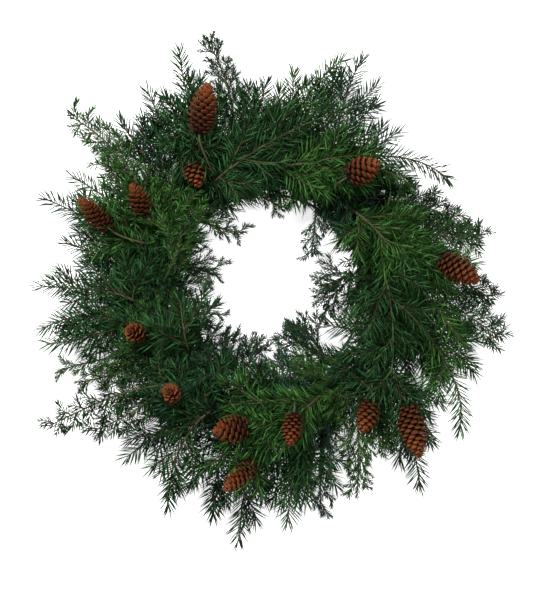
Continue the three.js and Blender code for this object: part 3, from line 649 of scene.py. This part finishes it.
# %% The cones' axes
CONES = [
    ((-77, 176), (-67, 238), 74, 70, 27),
    ((90, 127), (127, 144), 60, 58, 27),
    ((195, 37), (244, 8), 66, 62, 25),
    ((159, -129), (175, -194), 70, 66, 26),
    ((121, -124), (110, -164), 58, 52, 22),
    ((31, -138), (26, -178), 72, 70, 18),
    ((-10, -194), (-51, -231), 62, 60, 20),
    ((-18, -156), (-61, -161), 72, 72, 28),
    ((-107, -122), (-112, -115), 50, 76, 16),
    ((-142, -52), (-158, -46), 52, 74, 17),
    ((-178, 68), (-216, 106), 62, 66, 19),
    ((-137, 84), (-156, 122), 60, 58, 20),
    ((-88, 150), (-78, 118), 58, 54, 20),
]
CONE_LIFT = 1.5
# A cone's girth along its axis is sin(pi * (first + second * share)) ** third.
CAD_GIRTH = (0.12, 0.8, 0.7)
AXIS_STEPS = 20


def cone_rise(base, end, width, top):
    """How far the CAD cone was raised above the table's heights, in whole steps."""
    along = (end - base).normalized()
    level = math.sqrt(1 - along.z * along.z)
    first, span, power = CAD_GIRTH
    highest = 0
    for i in range(AXIS_STEPS + 1):
        share = i / AXIS_STEPS
        radius = width / 2 * math.sin(math.pi * (first + span * share)) ** power
        highest = max(highest, base.lerp(end, share).z + radius * level)
    return round((top - highest) / CONE_LIFT) * CONE_LIFT


def cone_axis(number, row):
    """Stalk end and tip of a cone as it lies, and its width."""
    stalk_end, tip, stalk_height, tip_height, width = row
    base, end = Vector((*stalk_end, stalk_height)), Vector((*tip, tip_height))
    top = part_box(f"cone_{number:02d}")[1][2] / MM
    rise = Vector((0, 0, cone_rise(base, end, width, top)))
    return base + rise, end + rise, width


CONE_AXES = [cone_axis(number, row) for number, row in enumerate(CONES, start=1)]
print("cone tops from", round(min(axis[0].z for axis in CONE_AXES)), "mm up")

# %% [markdown]
# ## Twigs
# A bough divides twice: the stem carries side twigs to its left and right in turn, and each of
# those carries finer ones. They could be drawn by hand or grown by an add-on. A short rule with a
# seeded random generator needs neither, and gives every bough its own twigs, the same on each run.
# Every shoot becomes a line, and each of its points carries what the needles there need: the
# thickness of the wood, whether needles grow at all, and their lean and size. Towards a tip they
# lean closer to the twig and are a little shorter.

# %% One shoot
SHOOT_KEYS = ["thickness", "leafy", "lean", "size"]
SHOOT_STEP = 6
TABLE_GAP = 2.5
FULL_HEIGHT, SQUEEZE = 66, 0.35
TIP_LEAN, TIP_REACH = 22, 0.8
TIP_SIZE, SIZE_GAIN = 0.85, 0.15


def kept_level(height):
    """Keeps a point off the table, and presses down what would stand above the full height."""
    if height < FULL_HEIGHT:
        return max(height, TABLE_GAP)
    return FULL_HEIGHT + SQUEEZE * (height - FULL_HEIGHT)


def shoot_line(kind, path, radii, bare, short=0.0):
    """One shoot as a line that may stop short: its points, and what grows at each of them."""
    length = path.length - short
    count = max(4, math.ceil(length / SHOOT_STEP))
    points = []
    rows = []
    for i in range(count + 1):
        distance = length * i / count
        point = path.at(distance)
        point.z = kept_level(point.z)
        points.append(point)
        radius = radii[0] + (radii[1] - radii[0]) * i / count
        closing = smoothstep(length - distance, 0, TIP_REACH * kind["needle"])
        lean = math.radians(TIP_LEAN + (kind["lean"] - TIP_LEAN) * closing)
        rows.append((2 * radius * MM, float(distance > bare), lean, TIP_SIZE + SIZE_GAIN * closing))
    return (points, rows, False)


# %% [markdown]
# A twig leans away from its parent, is rolled a little out of the flat, and bends back towards its
# parent's heading. Twigs get shorter towards a tip, and no two are quite alike.

# %% Side twigs
TWIG_BEND, TWIG_SAG = 0.6, 0.12
TWIG_FIRST = 1.1
LENGTH_RANGE, STEP_RANGE, LEAN_RANGE = (0.85, 1.15), (0.75, 1.2), 8


def heading_at(path, distance):
    return (path.at(distance + 1) - path.at(distance - 1)).normalized()


def leaning(along, out, angle):
    """A direction that leans from one towards another, by an angle in radians."""
    return along * math.cos(angle) + out * math.sin(angle)


def twig_path(parent, distance, length, lean, roll, side):
    """A twig that leaves its parent to one side and bends back towards the parent's heading."""
    along = heading_at(parent, distance)
    across = Vector((0, 0, side)).cross(along).normalized()
    out = Matrix.Rotation(math.radians(roll), 3, along) @ across
    root = parent.at(distance)
    angle = math.radians(lean)
    later = leaning(along, out, angle * TWIG_BEND) + Vector((0, 0, -TWIG_SAG))
    middle = root + leaning(along, out, angle) * (length / 2)
    return Path([root, middle, middle + later.normalized() * (length / 2)])


def side_twigs(kind, parent, first, length, step, shortest, chance):
    """Twigs left and right in turn along a parent, from `first` to near its tip."""
    twigs = []
    side = chance.choice((-1, 1))
    distance = first
    last = first + kind["twig_part"] * (parent.length - first)
    while distance < last:
        place = (distance - first) / (last - first)
        full = length * (TWIG_FIRST - kind["fall"] * place)
        reach = max(full * chance.uniform(*LENGTH_RANGE), shortest)
        lean = kind["twig_lean"] + chance.uniform(-LEAN_RANGE, LEAN_RANGE)
        roll = chance.uniform(-kind["roll"], kind["roll"])
        twigs.append(twig_path(parent, distance, reach, lean, roll, side))
        side = -side
        distance += step * chance.uniform(*STEP_RANGE)
    return twigs


# %% [markdown]
# A few long twigs lie over the next bundles and hide the trough, as on a well-made wreath. The CAD
# bough has two of them, and three further pairs fill the gaps between and below. They end further
# out where the hole is widest.

# %% Twigs that cover the trough
LEADER_LEAN, LEADER_KNEE = 50, 0.4
COLLARS = (0.62, 0.92)
# One row a pair: its place between the boughs, the rings it ends between, and its lowest end.
COVERS = ((0.0, 97, 162, 38), (0.5, 70, 150, 27), (0.3, 130, 188, 20), (0.8, 150, 204, 16))
COVER_AHEAD, COVER_AHEAD_RANGE, COVER_RANGE, COVER_LOWER = 17, 10, 15, 0.15
HOLE_WIDER, HOLE_WIDEST = 111, 70
GOLDEN = 0.618034


def leader_path(parent, distance, tip):
    """A shoot that leaves its parent half sideways and runs on to a given tip."""
    root, along = parent.at(distance), heading_at(parent, distance)
    toward = tip - root
    out = (toward - along * toward.dot(along)).normalized()
    start = leaning(along, out, math.radians(LEADER_LEAN))
    return Path([root, root + start * (LEADER_KNEE * toward.length), tip])


def facing(point, degrees):
    """1 where a point lies that way from the centre, falling to 0 at right angles to it."""
    return max(0.0, math.cos(math.atan2(point.y, point.x) - math.radians(degrees)))


def cover_tip(root, number, i, inner, outer, low):
    """Where a twig that hides the trough ends. The golden ratio spreads the ends evenly."""
    across = (number * GOLDEN + i / len(COLLARS)) % 1
    other = (number * GOLDEN * GOLDEN + i * GOLDEN) % 1
    angle = math.degrees(math.atan2(root.y, root.x)) - COVER_AHEAD - COVER_AHEAD_RANGE * other
    open_side = max(0.0, math.cos(math.radians(angle - HOLE_WIDEST)))
    inner += max(HOLE_WIDER - inner, 0) * open_side
    return on_ring(angle, inner + (outer - inner) * across, low + COVER_RANGE * other)


def cover_twigs(stem, number):
    twigs = []
    for between, inner, outer, low in COVERS:
        for i, share in enumerate(COLLARS):
            distance = stem.bare * (share - COVER_LOWER * between)
            tip = cover_tip(stem.at(distance), number + between, i, inner, outer, low)
            twigs.append(leader_path(stem, distance, tip))
    return twigs


# %% [markdown]
# The cones are tucked in between the sprays. So each cone gets three shoots of the bough nearest
# to its stalk end: one along the stalk, and one on either side of the cone.

# %% Shoots beside the cones
TUCKED_ENDS = ((-1, 0.45), (1, 0.7), (0, 0.08))
TUCKED_BEHIND, TUCKED_GAP, SEARCH_STEP = 34, 3, 8


def nearest_stem(spot):
    """The bough number and the distance along it that come nearest to a spot."""
    places = [
        ((stem.at(distance) - spot).length, number, distance)
        for number, stem in enumerate(STEMS, start=1)
        for distance in range(round(stem.bare), round(stem.length), SEARCH_STEP)
    ]
    return min(places)[1:]


def tucked_shoots():
    """The shoots beside all cones, by bough number."""
    shoots = {}
    for base, end, width in CONE_AXES:
        along = (end - base).normalized()
        across = Vector((0, 0, 1)).cross(along).normalized()
        number, distance = nearest_stem(base - along * TUCKED_BEHIND)
        for side, reach in TUCKED_ENDS:
            tip = base.lerp(end, reach) + across * (side * (width / 2 + TUCKED_GAP))
            path = leader_path(STEMS[number - 1], distance, tip)
            shoots.setdefault(number, []).append(path)
    return shoots


TUCKED = tucked_shoots()
print("boughs with shoots beside cones:", sorted(TUCKED))

# %% [markdown]
# Now a whole bough can be drawn: the twigs that cover the trough, then the stem and its fork with
# their side twigs. Towards the left rim the real wreath is sparser, and round the widest part of
# its hole the inner boughs are shorter.

# %% A whole bough
# Radii at foot and tip, and the length at the foot that bears no needles.
STEM_RADII, FORK_RADII, COVER_RADII = (1.7, 0.7), (1.3, 0.7), (0.9, 0.5)
TWIG_RADII, FINE_RADII = (0.8, 0.5), (0.55, 0.4)
FORK_BARE, COVER_BARE, TWIG_BARE, FINE_BARE = 4, 4, 2, 1
FORK_RISE = 5
LEAFY_FROM, TIP_NEEDLES = 0.75, 0.45
COVER_FINE_FROM, TWIG_FINE_FROM = 0.25, 0.3
TWIG_LEAST = 16
SPARSE_SIDE, SPARSE_STEP, SPARSE_TWIG = 200, 0.4, 0.2
INNER_TWIG, INNER_SHORTER = 1.12, 0.77


def twig_lines(kind, twigs, radii, bare, fine_from, chance):
    """Each twig as a line, followed by the lines of its finer twigs."""
    step, share, shortest = kind["finer"]
    lines = []
    for twig in twigs:
        lines.append(shoot_line(kind, twig, radii, bare))
        first, reach = fine_from * twig.length, share * twig.length
        for fine in side_twigs(kind, twig, first, reach, step, shortest, chance):
            lines.append(shoot_line(kind, fine, FINE_RADII, FINE_BARE))
    return lines


def bough_lines(kind, stem, fork_tip, number):
    chance = random.Random(number)
    end = stem.at(stem.length)
    leaders = [(stem, stem.bare, STEM_RADII)]
    if fork_tip:
        tip = Vector((*fork_tip, end.z + FORK_RISE))
        leaders.append((leader_path(stem, stem.bare, tip), FORK_BARE, FORK_RADII))
    sparse = facing(end, SPARSE_SIDE)
    spacing = kind["step"] * (1 + SPARSE_STEP * sparse)
    length = kind["twig"] * (1 - SPARSE_TWIG * sparse)
    if end.xy.length < TROUGH_RADIUS:
        length *= INNER_TWIG - INNER_SHORTER * facing(end, HOLE_WIDEST) ** 2
    covers = cover_twigs(stem, number) + TUCKED.get(number, [])
    lines = twig_lines(kind, covers, COVER_RADII, COVER_BARE, COVER_FINE_FROM, chance)
    for leader, bare, radii in leaders:
        short = TIP_NEEDLES * kind["needle"]
        lines.append(shoot_line(kind, leader, radii, LEAFY_FROM * bare, short))
        twigs = side_twigs(kind, leader, bare, length, spacing, TWIG_LEAST, chance)
        lines += twig_lines(kind, twigs, TWIG_RADII, TWIG_BARE, TWIG_FINE_FROM, chance)
    return lines


# %% [markdown]
# ## Needles
# Thousands of needles follow the shoots. A hair system could place them, but hair has no mesh to
# export, so a node tree does it. It steps along each shoot, turns by the golden angle from one
# needle to the next, as real shoots do, and leans each needle towards the tip. A needle is a slim
# three-sided spindle of ten triangles, few enough to repeat 94,000 times. None dips into the table:
# its direction is raised where it would.

# %% One needle
GOLDEN_ANGLE = math.radians(137.508)
NEEDLE_FOOT, NEEDLE_SWELL, NEEDLE_BEND = 0.3, 9.2, 0.5


def unit_needle(tree):
    """A spindle one unit long, widest in the middle, that remembers how far along each point is."""
    form = {
        "Vertices": 3, "Side Segments": 2, "Radius Top": 0.0, "Radius Bottom": NEEDLE_FOOT,
        "Depth": 1.0,
    }
    mesh = make(tree, "GeometryNodeMeshCone", form)
    parts = split(tree, own_place(tree))
    middle = calc(tree, "MULTIPLY", parts[2], calc(tree, "SUBTRACT", 1.0, parts[2]))
    swell = calc(tree, "MULTIPLY_ADD", middle, NEEDLE_SWELL, 1.0)
    x = calc(tree, "MULTIPLY_ADD", parts[0], swell, calc(tree, "MULTIPLY", middle, NEEDLE_BEND))
    y = calc(tree, "MULTIPLY", parts[1], swell)
    shaped = {"Geometry": mesh, "Position": combined(tree, x, y, parts[2])}
    moved = make(tree, "GeometryNodeSetPosition", shaped)
    return stored(tree, moved, "along", parts[2])


# %% [markdown]
# The direction of a needle starts from the shoot's own tangent and normal. Most needles of a fir
# lie to the left and right of the twig, so the turn round it is pushed towards both sides. At the
# end the direction gets its full length back after its rise has been limited.

# %% Which way a needle points
TURN_RANGE, LEAN_LEAST, LEAN_MOST = 0.3, 0.75, 1.2
NEEDLE_GAP, STEEPEST_RISE = 1.2, 0.95
LEAN_SEED, SIZE_SEED = 100.0, 200.0


def needle_turn(tree, given):
    """The angle round the shoot."""
    index = make(tree, "GeometryNodeInputIndex")
    turn = calc(tree, "MULTIPLY", index, GOLDEN_ANGLE)
    turn = calc(tree, "ADD", turn, random_value(tree, -TURN_RANGE, TURN_RANGE, given["Seed"]))
    twice = calc(tree, "SINE", calc(tree, "MULTIPLY", turn, 2.0))
    return calc(tree, "SUBTRACT", turn, calc(tree, "MULTIPLY", twice, given["Flatness"]))


def tilted(tree, first, second, angle):
    """The direction that leans from the first towards the second by an angle."""
    near = scaled(tree, first, calc(tree, "COSINE", angle))
    return vector_calc(tree, "ADD", near, scaled(tree, second, calc(tree, "SINE", angle)))


def above_table(tree, way, size):
    """Raises a direction whose needle would dip into the table, and keeps it one unit long."""
    parts = split(tree, way)
    root_height = split(tree, own_place(tree))[2]
    lowest = calc(tree, "DIVIDE", calc(tree, "SUBTRACT", NEEDLE_GAP * MM, root_height), size)
    level = calc(tree, "MINIMUM", calc(tree, "MAXIMUM", parts[2], lowest), STEEPEST_RISE)
    squares = [calc(tree, "MULTIPLY", part, part) for part in (parts[0], parts[1], level)]
    flat = calc(tree, "SQRT", calc(tree, "ADD", calc(tree, "ADD", squares[0], squares[1]), 1e-6))
    widen = calc(tree, "DIVIDE", calc(tree, "SQRT", calc(tree, "SUBTRACT", 1.0, squares[2])), flat)
    x, y = (calc(tree, "MULTIPLY", part, widen) for part in (parts[0], parts[1]))
    return combined(tree, x, y, level)


def needle_direction(tree, given, points, size):
    seed = calc(tree, "ADD", given["Seed"], LEAN_SEED)
    share = random_value(tree, LEAN_LEAST, LEAN_MOST, seed)
    lean = calc(tree, "MULTIPLY", attribute(tree, "lean"), share)
    tangent, normal = points.outputs["Tangent"], points.outputs["Normal"]
    binormal = vector_calc(tree, "CROSS_PRODUCT", tangent, normal)
    out = tilted(tree, normal, binormal, needle_turn(tree, given))
    return above_table(tree, tilted(tree, tangent, out, lean), size)


# %% [markdown]
# The tree puts it together: wood along the shoots, points at even steps, a needle on every leafy
# point, and a random tone on each needle. Wood and needles get their own materials.

# %% The needle tree
TWIG_SIDES = 5
SIZE_LEAST, SIZE_MOST, THINNER = 0.85, 1.08, 0.7


def needles_on(tree, given, lines):
    steps = {"Curve": lines, "Length": given["Spacing"]}
    points = put(tree, "GeometryNodeCurveToPoints", steps, mode="LENGTH")
    seed = calc(tree, "ADD", given["Seed"], SIZE_SEED)
    share = random_value(tree, SIZE_LEAST, SIZE_MOST, seed)
    length = calc(tree, "MULTIPLY", share, given["Needle Length"])
    size = calc(tree, "MULTIPLY", attribute(tree, "size"), length)
    way = {"Vector": needle_direction(tree, given, points, size)}
    thin = calc(tree, "MULTIPLY", given["Needle Width"], THINNER)
    place = {
        "Points": points.outputs["Points"],
        "Selection": calc(tree, "GREATER_THAN", attribute(tree, "leafy"), 0.5),
        "Instance": unit_needle(tree),
        "Rotation": make(tree, "FunctionNodeAlignRotationToVector", way, axis="Z"),
        "Scale": combined(tree, given["Needle Width"], thin, size),
    }
    needles = make(tree, "GeometryNodeInstanceOnPoints", place)
    return stored(tree, needles, "tone", random_value(tree, 0.0, 1.0, given["Seed"]), "INSTANCE")


def needle_tree():
    inputs = [
        ("Needle Length", "Float", 0.02), ("Needle Width", "Float", 0.0015),
        ("Spacing", "Float", 0.001), ("Flatness", "Float", 0.3), ("Seed", "Int", 1),
        ("Foliage", "Material", None), ("Bark", "Material", None),
    ]
    tree, given = geometry_tree("Needled shoots", inputs)
    lines = make(tree, "GeometryNodeMeshToCurve", {"Mesh": given["Geometry"]})
    upright = make(tree, "GeometryNodeSetCurveNormal", {"Curve": lines}, mode="Z_UP")
    wood = finished(tree, swept(tree, upright, TWIG_SIDES), given["Bark"])
    needles = finished(tree, needles_on(tree, given, upright), given["Foliage"])
    put(tree, "NodeGroupOutput", {0: joined(tree, wood, needles)})
    return tree


NEEDLES = needle_tree()
print("needle tree:", len(NEEDLES.nodes), "nodes")


# %% Make the boughs
def make_bough(number, row):
    kind_name, tone = row[0], row[6]
    kind = KINDS[kind_name]
    fork_tip = row[7] if len(row) > 7 else None
    stem = STEMS[number - 1]
    lines = bough_lines(kind, stem, fork_tip, number)
    name = f"{kind_name}_spray_{number:02d}"
    values = {
        "Needle Length": kind["needle"] * MM, "Needle Width": kind["width"] * MM,
        "Spacing": kind["spacing"] * MM, "Flatness": kind["flatness"], "Seed": number,
        "Foliage": FOLIAGE[tone], "Bark": BARK,
    }
    piece = grown(name, line_mesh(name, lines, SHOOT_KEYS), NEEDLES, values)
    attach(piece, "root")
    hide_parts(f"{kind_name}_bough_{number:02d}")
    return piece


sprays = [make_bough(number, row) for number, row in enumerate(BOUGHS, start=1)]
triangles = [sum(len(face.vertices) - 2 for face in spray.data.polygons) for spray in sprays]
print("spray triangles: most", max(triangles), "total", sum(triangles))

# %% [markdown]
# ## Cones
# A cone's scales overlap like tiles, in the spirals that the golden angle makes. Rings of scales
# would be simpler, but they show as hoops, which no real cone has. Each scale is a thin rounded
# plate with a curled lip. The tree is made for a cone that stands on the origin along +Z, and the
# result is then laid where the CAD cone is.

# %% One scale and the core
CURL, CUP, PLATE, FOOT_WIDTH, LIP_WIDER = 0.16, -0.5, 0.2, 0.72, 0.35
CORE_WIDTH, CORE_LENGTH = 0.72, 0.96


def unit_scale(tree):
    """A thin rounded plate, foot at the origin, tip along +Z, curling out along +X."""
    ball = make(tree, "GeometryNodeMeshUVSphere", {"Segments": 8, "Rings": 6, "Radius": 0.5})
    parts = split(tree, own_place(tree))
    far = calc(tree, "ADD", parts[2], 0.5)
    curl = calc(tree, "MULTIPLY", calc(tree, "POWER", far, 3.0), CURL)
    cup = calc(tree, "MULTIPLY", calc(tree, "MULTIPLY", parts[1], parts[1]), CUP)
    x = calc(tree, "ADD", calc(tree, "MULTIPLY_ADD", parts[0], PLATE, curl), cup)
    y = calc(tree, "MULTIPLY", parts[1], calc(tree, "MULTIPLY_ADD", far, LIP_WIDER, FOOT_WIDTH))
    shaped = {"Geometry": ball, "Position": combined(tree, x, y, far)}
    moved = make(tree, "GeometryNodeSetPosition", shaped)
    return stored(tree, moved, "along", far)


def cone_core(tree, given):
    """The slim body that the scales grow from."""
    ball = make(tree, "GeometryNodeMeshUVSphere", {"Segments": 14, "Rings": 10, "Radius": 0.5})
    slim = calc(tree, "MULTIPLY", given["Width"], CORE_WIDTH)
    long = calc(tree, "MULTIPLY", given["Length"], CORE_LENGTH)
    raised = calc(tree, "MULTIPLY", given["Length"], CORE_LENGTH / 2)
    stretch = {
        "Geometry": ball,
        "Translation": combined(tree, 0.0, 0.0, raised),
        "Scale": combined(tree, slim, slim, long),
    }
    return make(tree, "GeometryNodeTransform", stretch)


# %% [markdown]
# The scales open widest near the stalk and close towards the tip. Their girth follows a flattened
# sine, which gives the egg shape. Small ones sit at both ends.

# %% The cone tree
SCALE_GIRTH = (0.14, 0.82, 0.7)  # as CAD_GIRTH, for the circle that the scales' feet lie on
FOOT_CIRCLE, LAST_SCALE = 0.34, 0.88
OPENING, CLOSING = 1.55, -1.75
SCALE_LEAST, SCALE_MOST = 0.92, 1.08


def placed_scales(tree, given):
    """Scales in golden-angle spirals, each with its tone and its place along the cone."""
    index = make(tree, "GeometryNodeInputIndex")
    share = calc(tree, "DIVIDE", calc(tree, "ADD", index, 0.5), given["Scales"])
    first, span, power = SCALE_GIRTH
    arc = calc(tree, "MULTIPLY", calc(tree, "MULTIPLY_ADD", share, span, first), math.pi)
    girth = calc(tree, "POWER", calc(tree, "SINE", arc), power)
    radius = calc(tree, "MULTIPLY", calc(tree, "MULTIPLY", girth, given["Width"]), FOOT_CIRCLE)
    turn = calc(tree, "MULTIPLY", index, GOLDEN_ANGLE)
    radial = combined(tree, calc(tree, "COSINE", turn), calc(tree, "SINE", turn), 0.0)
    height = calc(tree, "MULTIPLY", calc(tree, "MULTIPLY", share, LAST_SCALE), given["Length"])
    up = combined(tree, 0.0, 0.0, height)
    place = vector_calc(tree, "ADD", scaled(tree, radial, radius), up)
    points = make(tree, "GeometryNodePoints", {"Count": given["Scales"], "Position": place})

    opening = calc(tree, "MULTIPLY_ADD", calc(tree, "MULTIPLY", share, share), CLOSING, OPENING)
    way = {"Vector": vector_calc(tree, "ADD", scaled(tree, radial, opening), (0.0, 0.0, 1.0))}
    turned = make(tree, "FunctionNodeAlignRotationToVector", way, axis="Z")
    outward = {"Rotation": turned, "Vector": radial}
    turned = make(tree, "FunctionNodeAlignRotationToVector", outward, axis="X", pivot_axis="Z")
    size = calc(tree, "MULTIPLY", given["Scale Size"], calc(tree, "MULTIPLY_ADD", girth, 0.5, 0.5))
    varied = random_value(tree, SCALE_LEAST, SCALE_MOST, given["Seed"])
    size = calc(tree, "MULTIPLY", size, varied)
    lay = {"Points": points, "Instance": unit_scale(tree), "Rotation": turned, "Scale": size}
    scales = make(tree, "GeometryNodeInstanceOnPoints", lay)
    tone = random_value(tree, 0.0, 1.0, given["Seed"])
    scales = stored(tree, scales, "tone", tone, "INSTANCE")
    # The share along the cone also sets the painted shade near the stalk.
    return stored(tree, scales, "share_to_tip", share, "INSTANCE")


def cone_tree():
    inputs = [
        ("Length", "Float", 0.06), ("Width", "Float", 0.027), ("Scales", "Int", 90),
        ("Scale Size", "Float", 0.01), ("Seed", "Int", 1), ("Material", "Material", None),
    ]
    tree, given = geometry_tree("Scaled cone", inputs)
    cone = joined(tree, cone_core(tree, given), placed_scales(tree, given))
    put(tree, "NodeGroupOutput", {0: finished(tree, cone, given["Material"])})
    return tree


CONE_FORM = cone_tree()
print("cone tree:", len(CONE_FORM.nodes), "nodes")

# %% [markdown]
# A cone has grown on a woody stalk, which bends down to a foot in the trough, between the butts.
# The foot is read from the CAD cone, so that the stalk stands where the solid does.


# %% Lay the cones
FOOT_END = 2.0
SCALE_START, SCALE_PER_WIDTH, SCALES_PER_AREA = 4.0, 0.22, 6.0
KNEE_HEIGHT, STALK_LEAVES, STALK_STEPS = 46, 14, 16
STALK_INTO, STALK_THICKNESS = 0.1, 2.6


def stalk_foot(node):
    """The middle of the lowest end of the CAD cone's stalk, in mm."""
    points = [corner.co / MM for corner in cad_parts[node].data.vertices]
    lowest = min(point.z for point in points)
    end = [point for point in points if point.z < lowest + FOOT_END]
    return sum(end, Vector()) / len(end)


def stalk_line(foot, base, end):
    """From the foot up over a knee, and into the cone along its axis."""
    knee = on_ring(math.degrees(math.atan2(foot.y, foot.x)), TROUGH_RADIUS, KNEE_HEIGHT)
    back = base + (base - end).normalized() * STALK_LEAVES
    path = Path([foot, knee, back, base])
    points = [path.at(path.length * i / STALK_STEPS) for i in range(STALK_STEPS + 1)]
    return even(points + [base.lerp(end, STALK_INTO)], STALK_THICKNESS)


def cone_body(number, base, end, width):
    """The scaled cone, made upright and then laid along its axis."""
    length = (end - base).length
    scale = SCALE_START + SCALE_PER_WIDTH * width
    values = {
        "Length": length * MM, "Width": width * MM, "Scale Size": scale * MM,
        "Scales": round(SCALES_PER_AREA * width * length / scale ** 2),
        "Seed": number, "Material": CONE_SCALE,
    }
    body = grown(f"scaled_cone_{number:02d}", bpy.data.meshes.new("start"), CONE_FORM, values)
    turn = (end - base).to_track_quat("Z", "Y").to_matrix().to_4x4()
    body.data.transform(Matrix.Translation(base * MM) @ turn)
    return body


def make_cone(number, axis):
    node = f"cone_{number:02d}"
    base, end, width = axis
    body = cone_body(number, base, end, width)
    line = stalk_line(stalk_foot(node), base, end)
    stalk = bars_piece(f"cone_stalk_{number:02d}", [line], BARK, sides=8)
    for piece in (body, stalk):
        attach(piece, "root")
        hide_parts(node)
    return body


cones = [make_cone(number, axis) for number, axis in enumerate(CONE_AXES, start=1)]
print("cones:", len(cones), "with", [len(cone.data.polygons) for cone in cones], "faces")

# %% [markdown]
# ## Table, light and camera
# The picture shows the wreath on clean white. A plain white table would turn grey in the shade of
# the sprays. One that glows faintly, as a light table does, keeps the gaps white. It is wide enough
# that no side view shows its edge.


# %% Table
HALF_TABLE = 8.0
GLOW = 0.74


def table_material():
    material, tree, shader = new_material("white_table")
    colour = mixed(tree, noise(tree, 3.0), (0.86, 0.86, 0.85, 1), (0.9, 0.9, 0.9, 1))
    tree.links.new(colour, shader.inputs["Base Color"])
    shader.inputs["Roughness"].default_value = 0.9
    shader.inputs["Emission Color"].default_value = (1, 1, 1, 1)
    shader.inputs["Emission Strength"].default_value = GLOW
    return material


signs = ((-1, -1), (1, -1), (1, 1), (-1, 1))
corners = [(HALF_TABLE * x, HALF_TABLE * y, 0) for x, y in signs]
top = bpy.data.meshes.new("table_top")
top.from_pydata(corners, [], [(0, 1, 2, 3)])
top.materials.append(table_material())
table = bpy.data.objects.new("table_top", top)
bpy.context.scene.collection.objects.link(table)
print("table:", 2 * HALF_TABLE, "m wide")

# %% [markdown]
# One bright area lamp at the upper left stands for a window and gives the sprays their shape. Two
# wide, weak ones stand for reflectors and open the shadows, and a dim pale world does the rest.


# %% Lights
def soft_lamp(name, place, size, power):
    """A square lamp that faces the wreath's middle."""
    lamp = bpy.data.lights.new(name, "AREA")
    lamp.size = size
    lamp.energy = power
    holder = bpy.data.objects.new(name, lamp)
    holder.location = place
    holder.rotation_euler = (-Vector(place)).to_track_quat("-Z", "Y").to_euler()
    bpy.context.scene.collection.objects.link(holder)


soft_lamp("upper_left_window", (-1.3, 1.5, 2.1), 0.7, 150)
soft_lamp("right_reflector", (1.7, 0.4, 1.8), 1.4, 36)
soft_lamp("lower_reflector", (0.1, -1.8, 1.6), 1.4, 20)
world = bpy.data.worlds.new("studio")
world.use_nodes = True
sky = world.node_tree.nodes["Background"].inputs
sky["Color"].default_value = (0.95, 0.97, 1.0, 1)
sky["Strength"].default_value = 0.08
bpy.context.scene.world = world
bpy.context.scene.view_settings.view_transform = "Standard"
print("lamps:", len(bpy.data.lights))

# %% [markdown]
# The picture is 539 by 599 pixels, and one of them is 1.15 mm. The camera hangs 2.5 m above the
# sprays and looks straight down, moved a little sideways so that the ring's middle falls where it
# lies in the picture. From so far away the near sprays look hardly larger than the far ones.

# %% Camera
PIXEL = 1.15
IMAGE_WIDTH, IMAGE_HEIGHT = 539, 599
RING_CENTRE = (267, 290)
DISTANCE, SPRAY_LEVEL = 2500, 45
SENSOR = 36
camera = bpy.data.cameras.new("camera")
camera.sensor_width = SENSOR
camera.lens = SENSOR * DISTANCE / (IMAGE_HEIGHT * PIXEL)
camera_holder = bpy.data.objects.new("camera", camera)
across = (IMAGE_WIDTH / 2 - RING_CENTRE[0]) * PIXEL
along = (RING_CENTRE[1] - IMAGE_HEIGHT / 2) * PIXEL
camera_holder.location = Vector((across, along, DISTANCE + SPRAY_LEVEL)) * MM
bpy.context.scene.collection.objects.link(camera_holder)
bpy.context.scene.camera = camera_holder
print("lens:", round(camera.lens, 1), "mm")
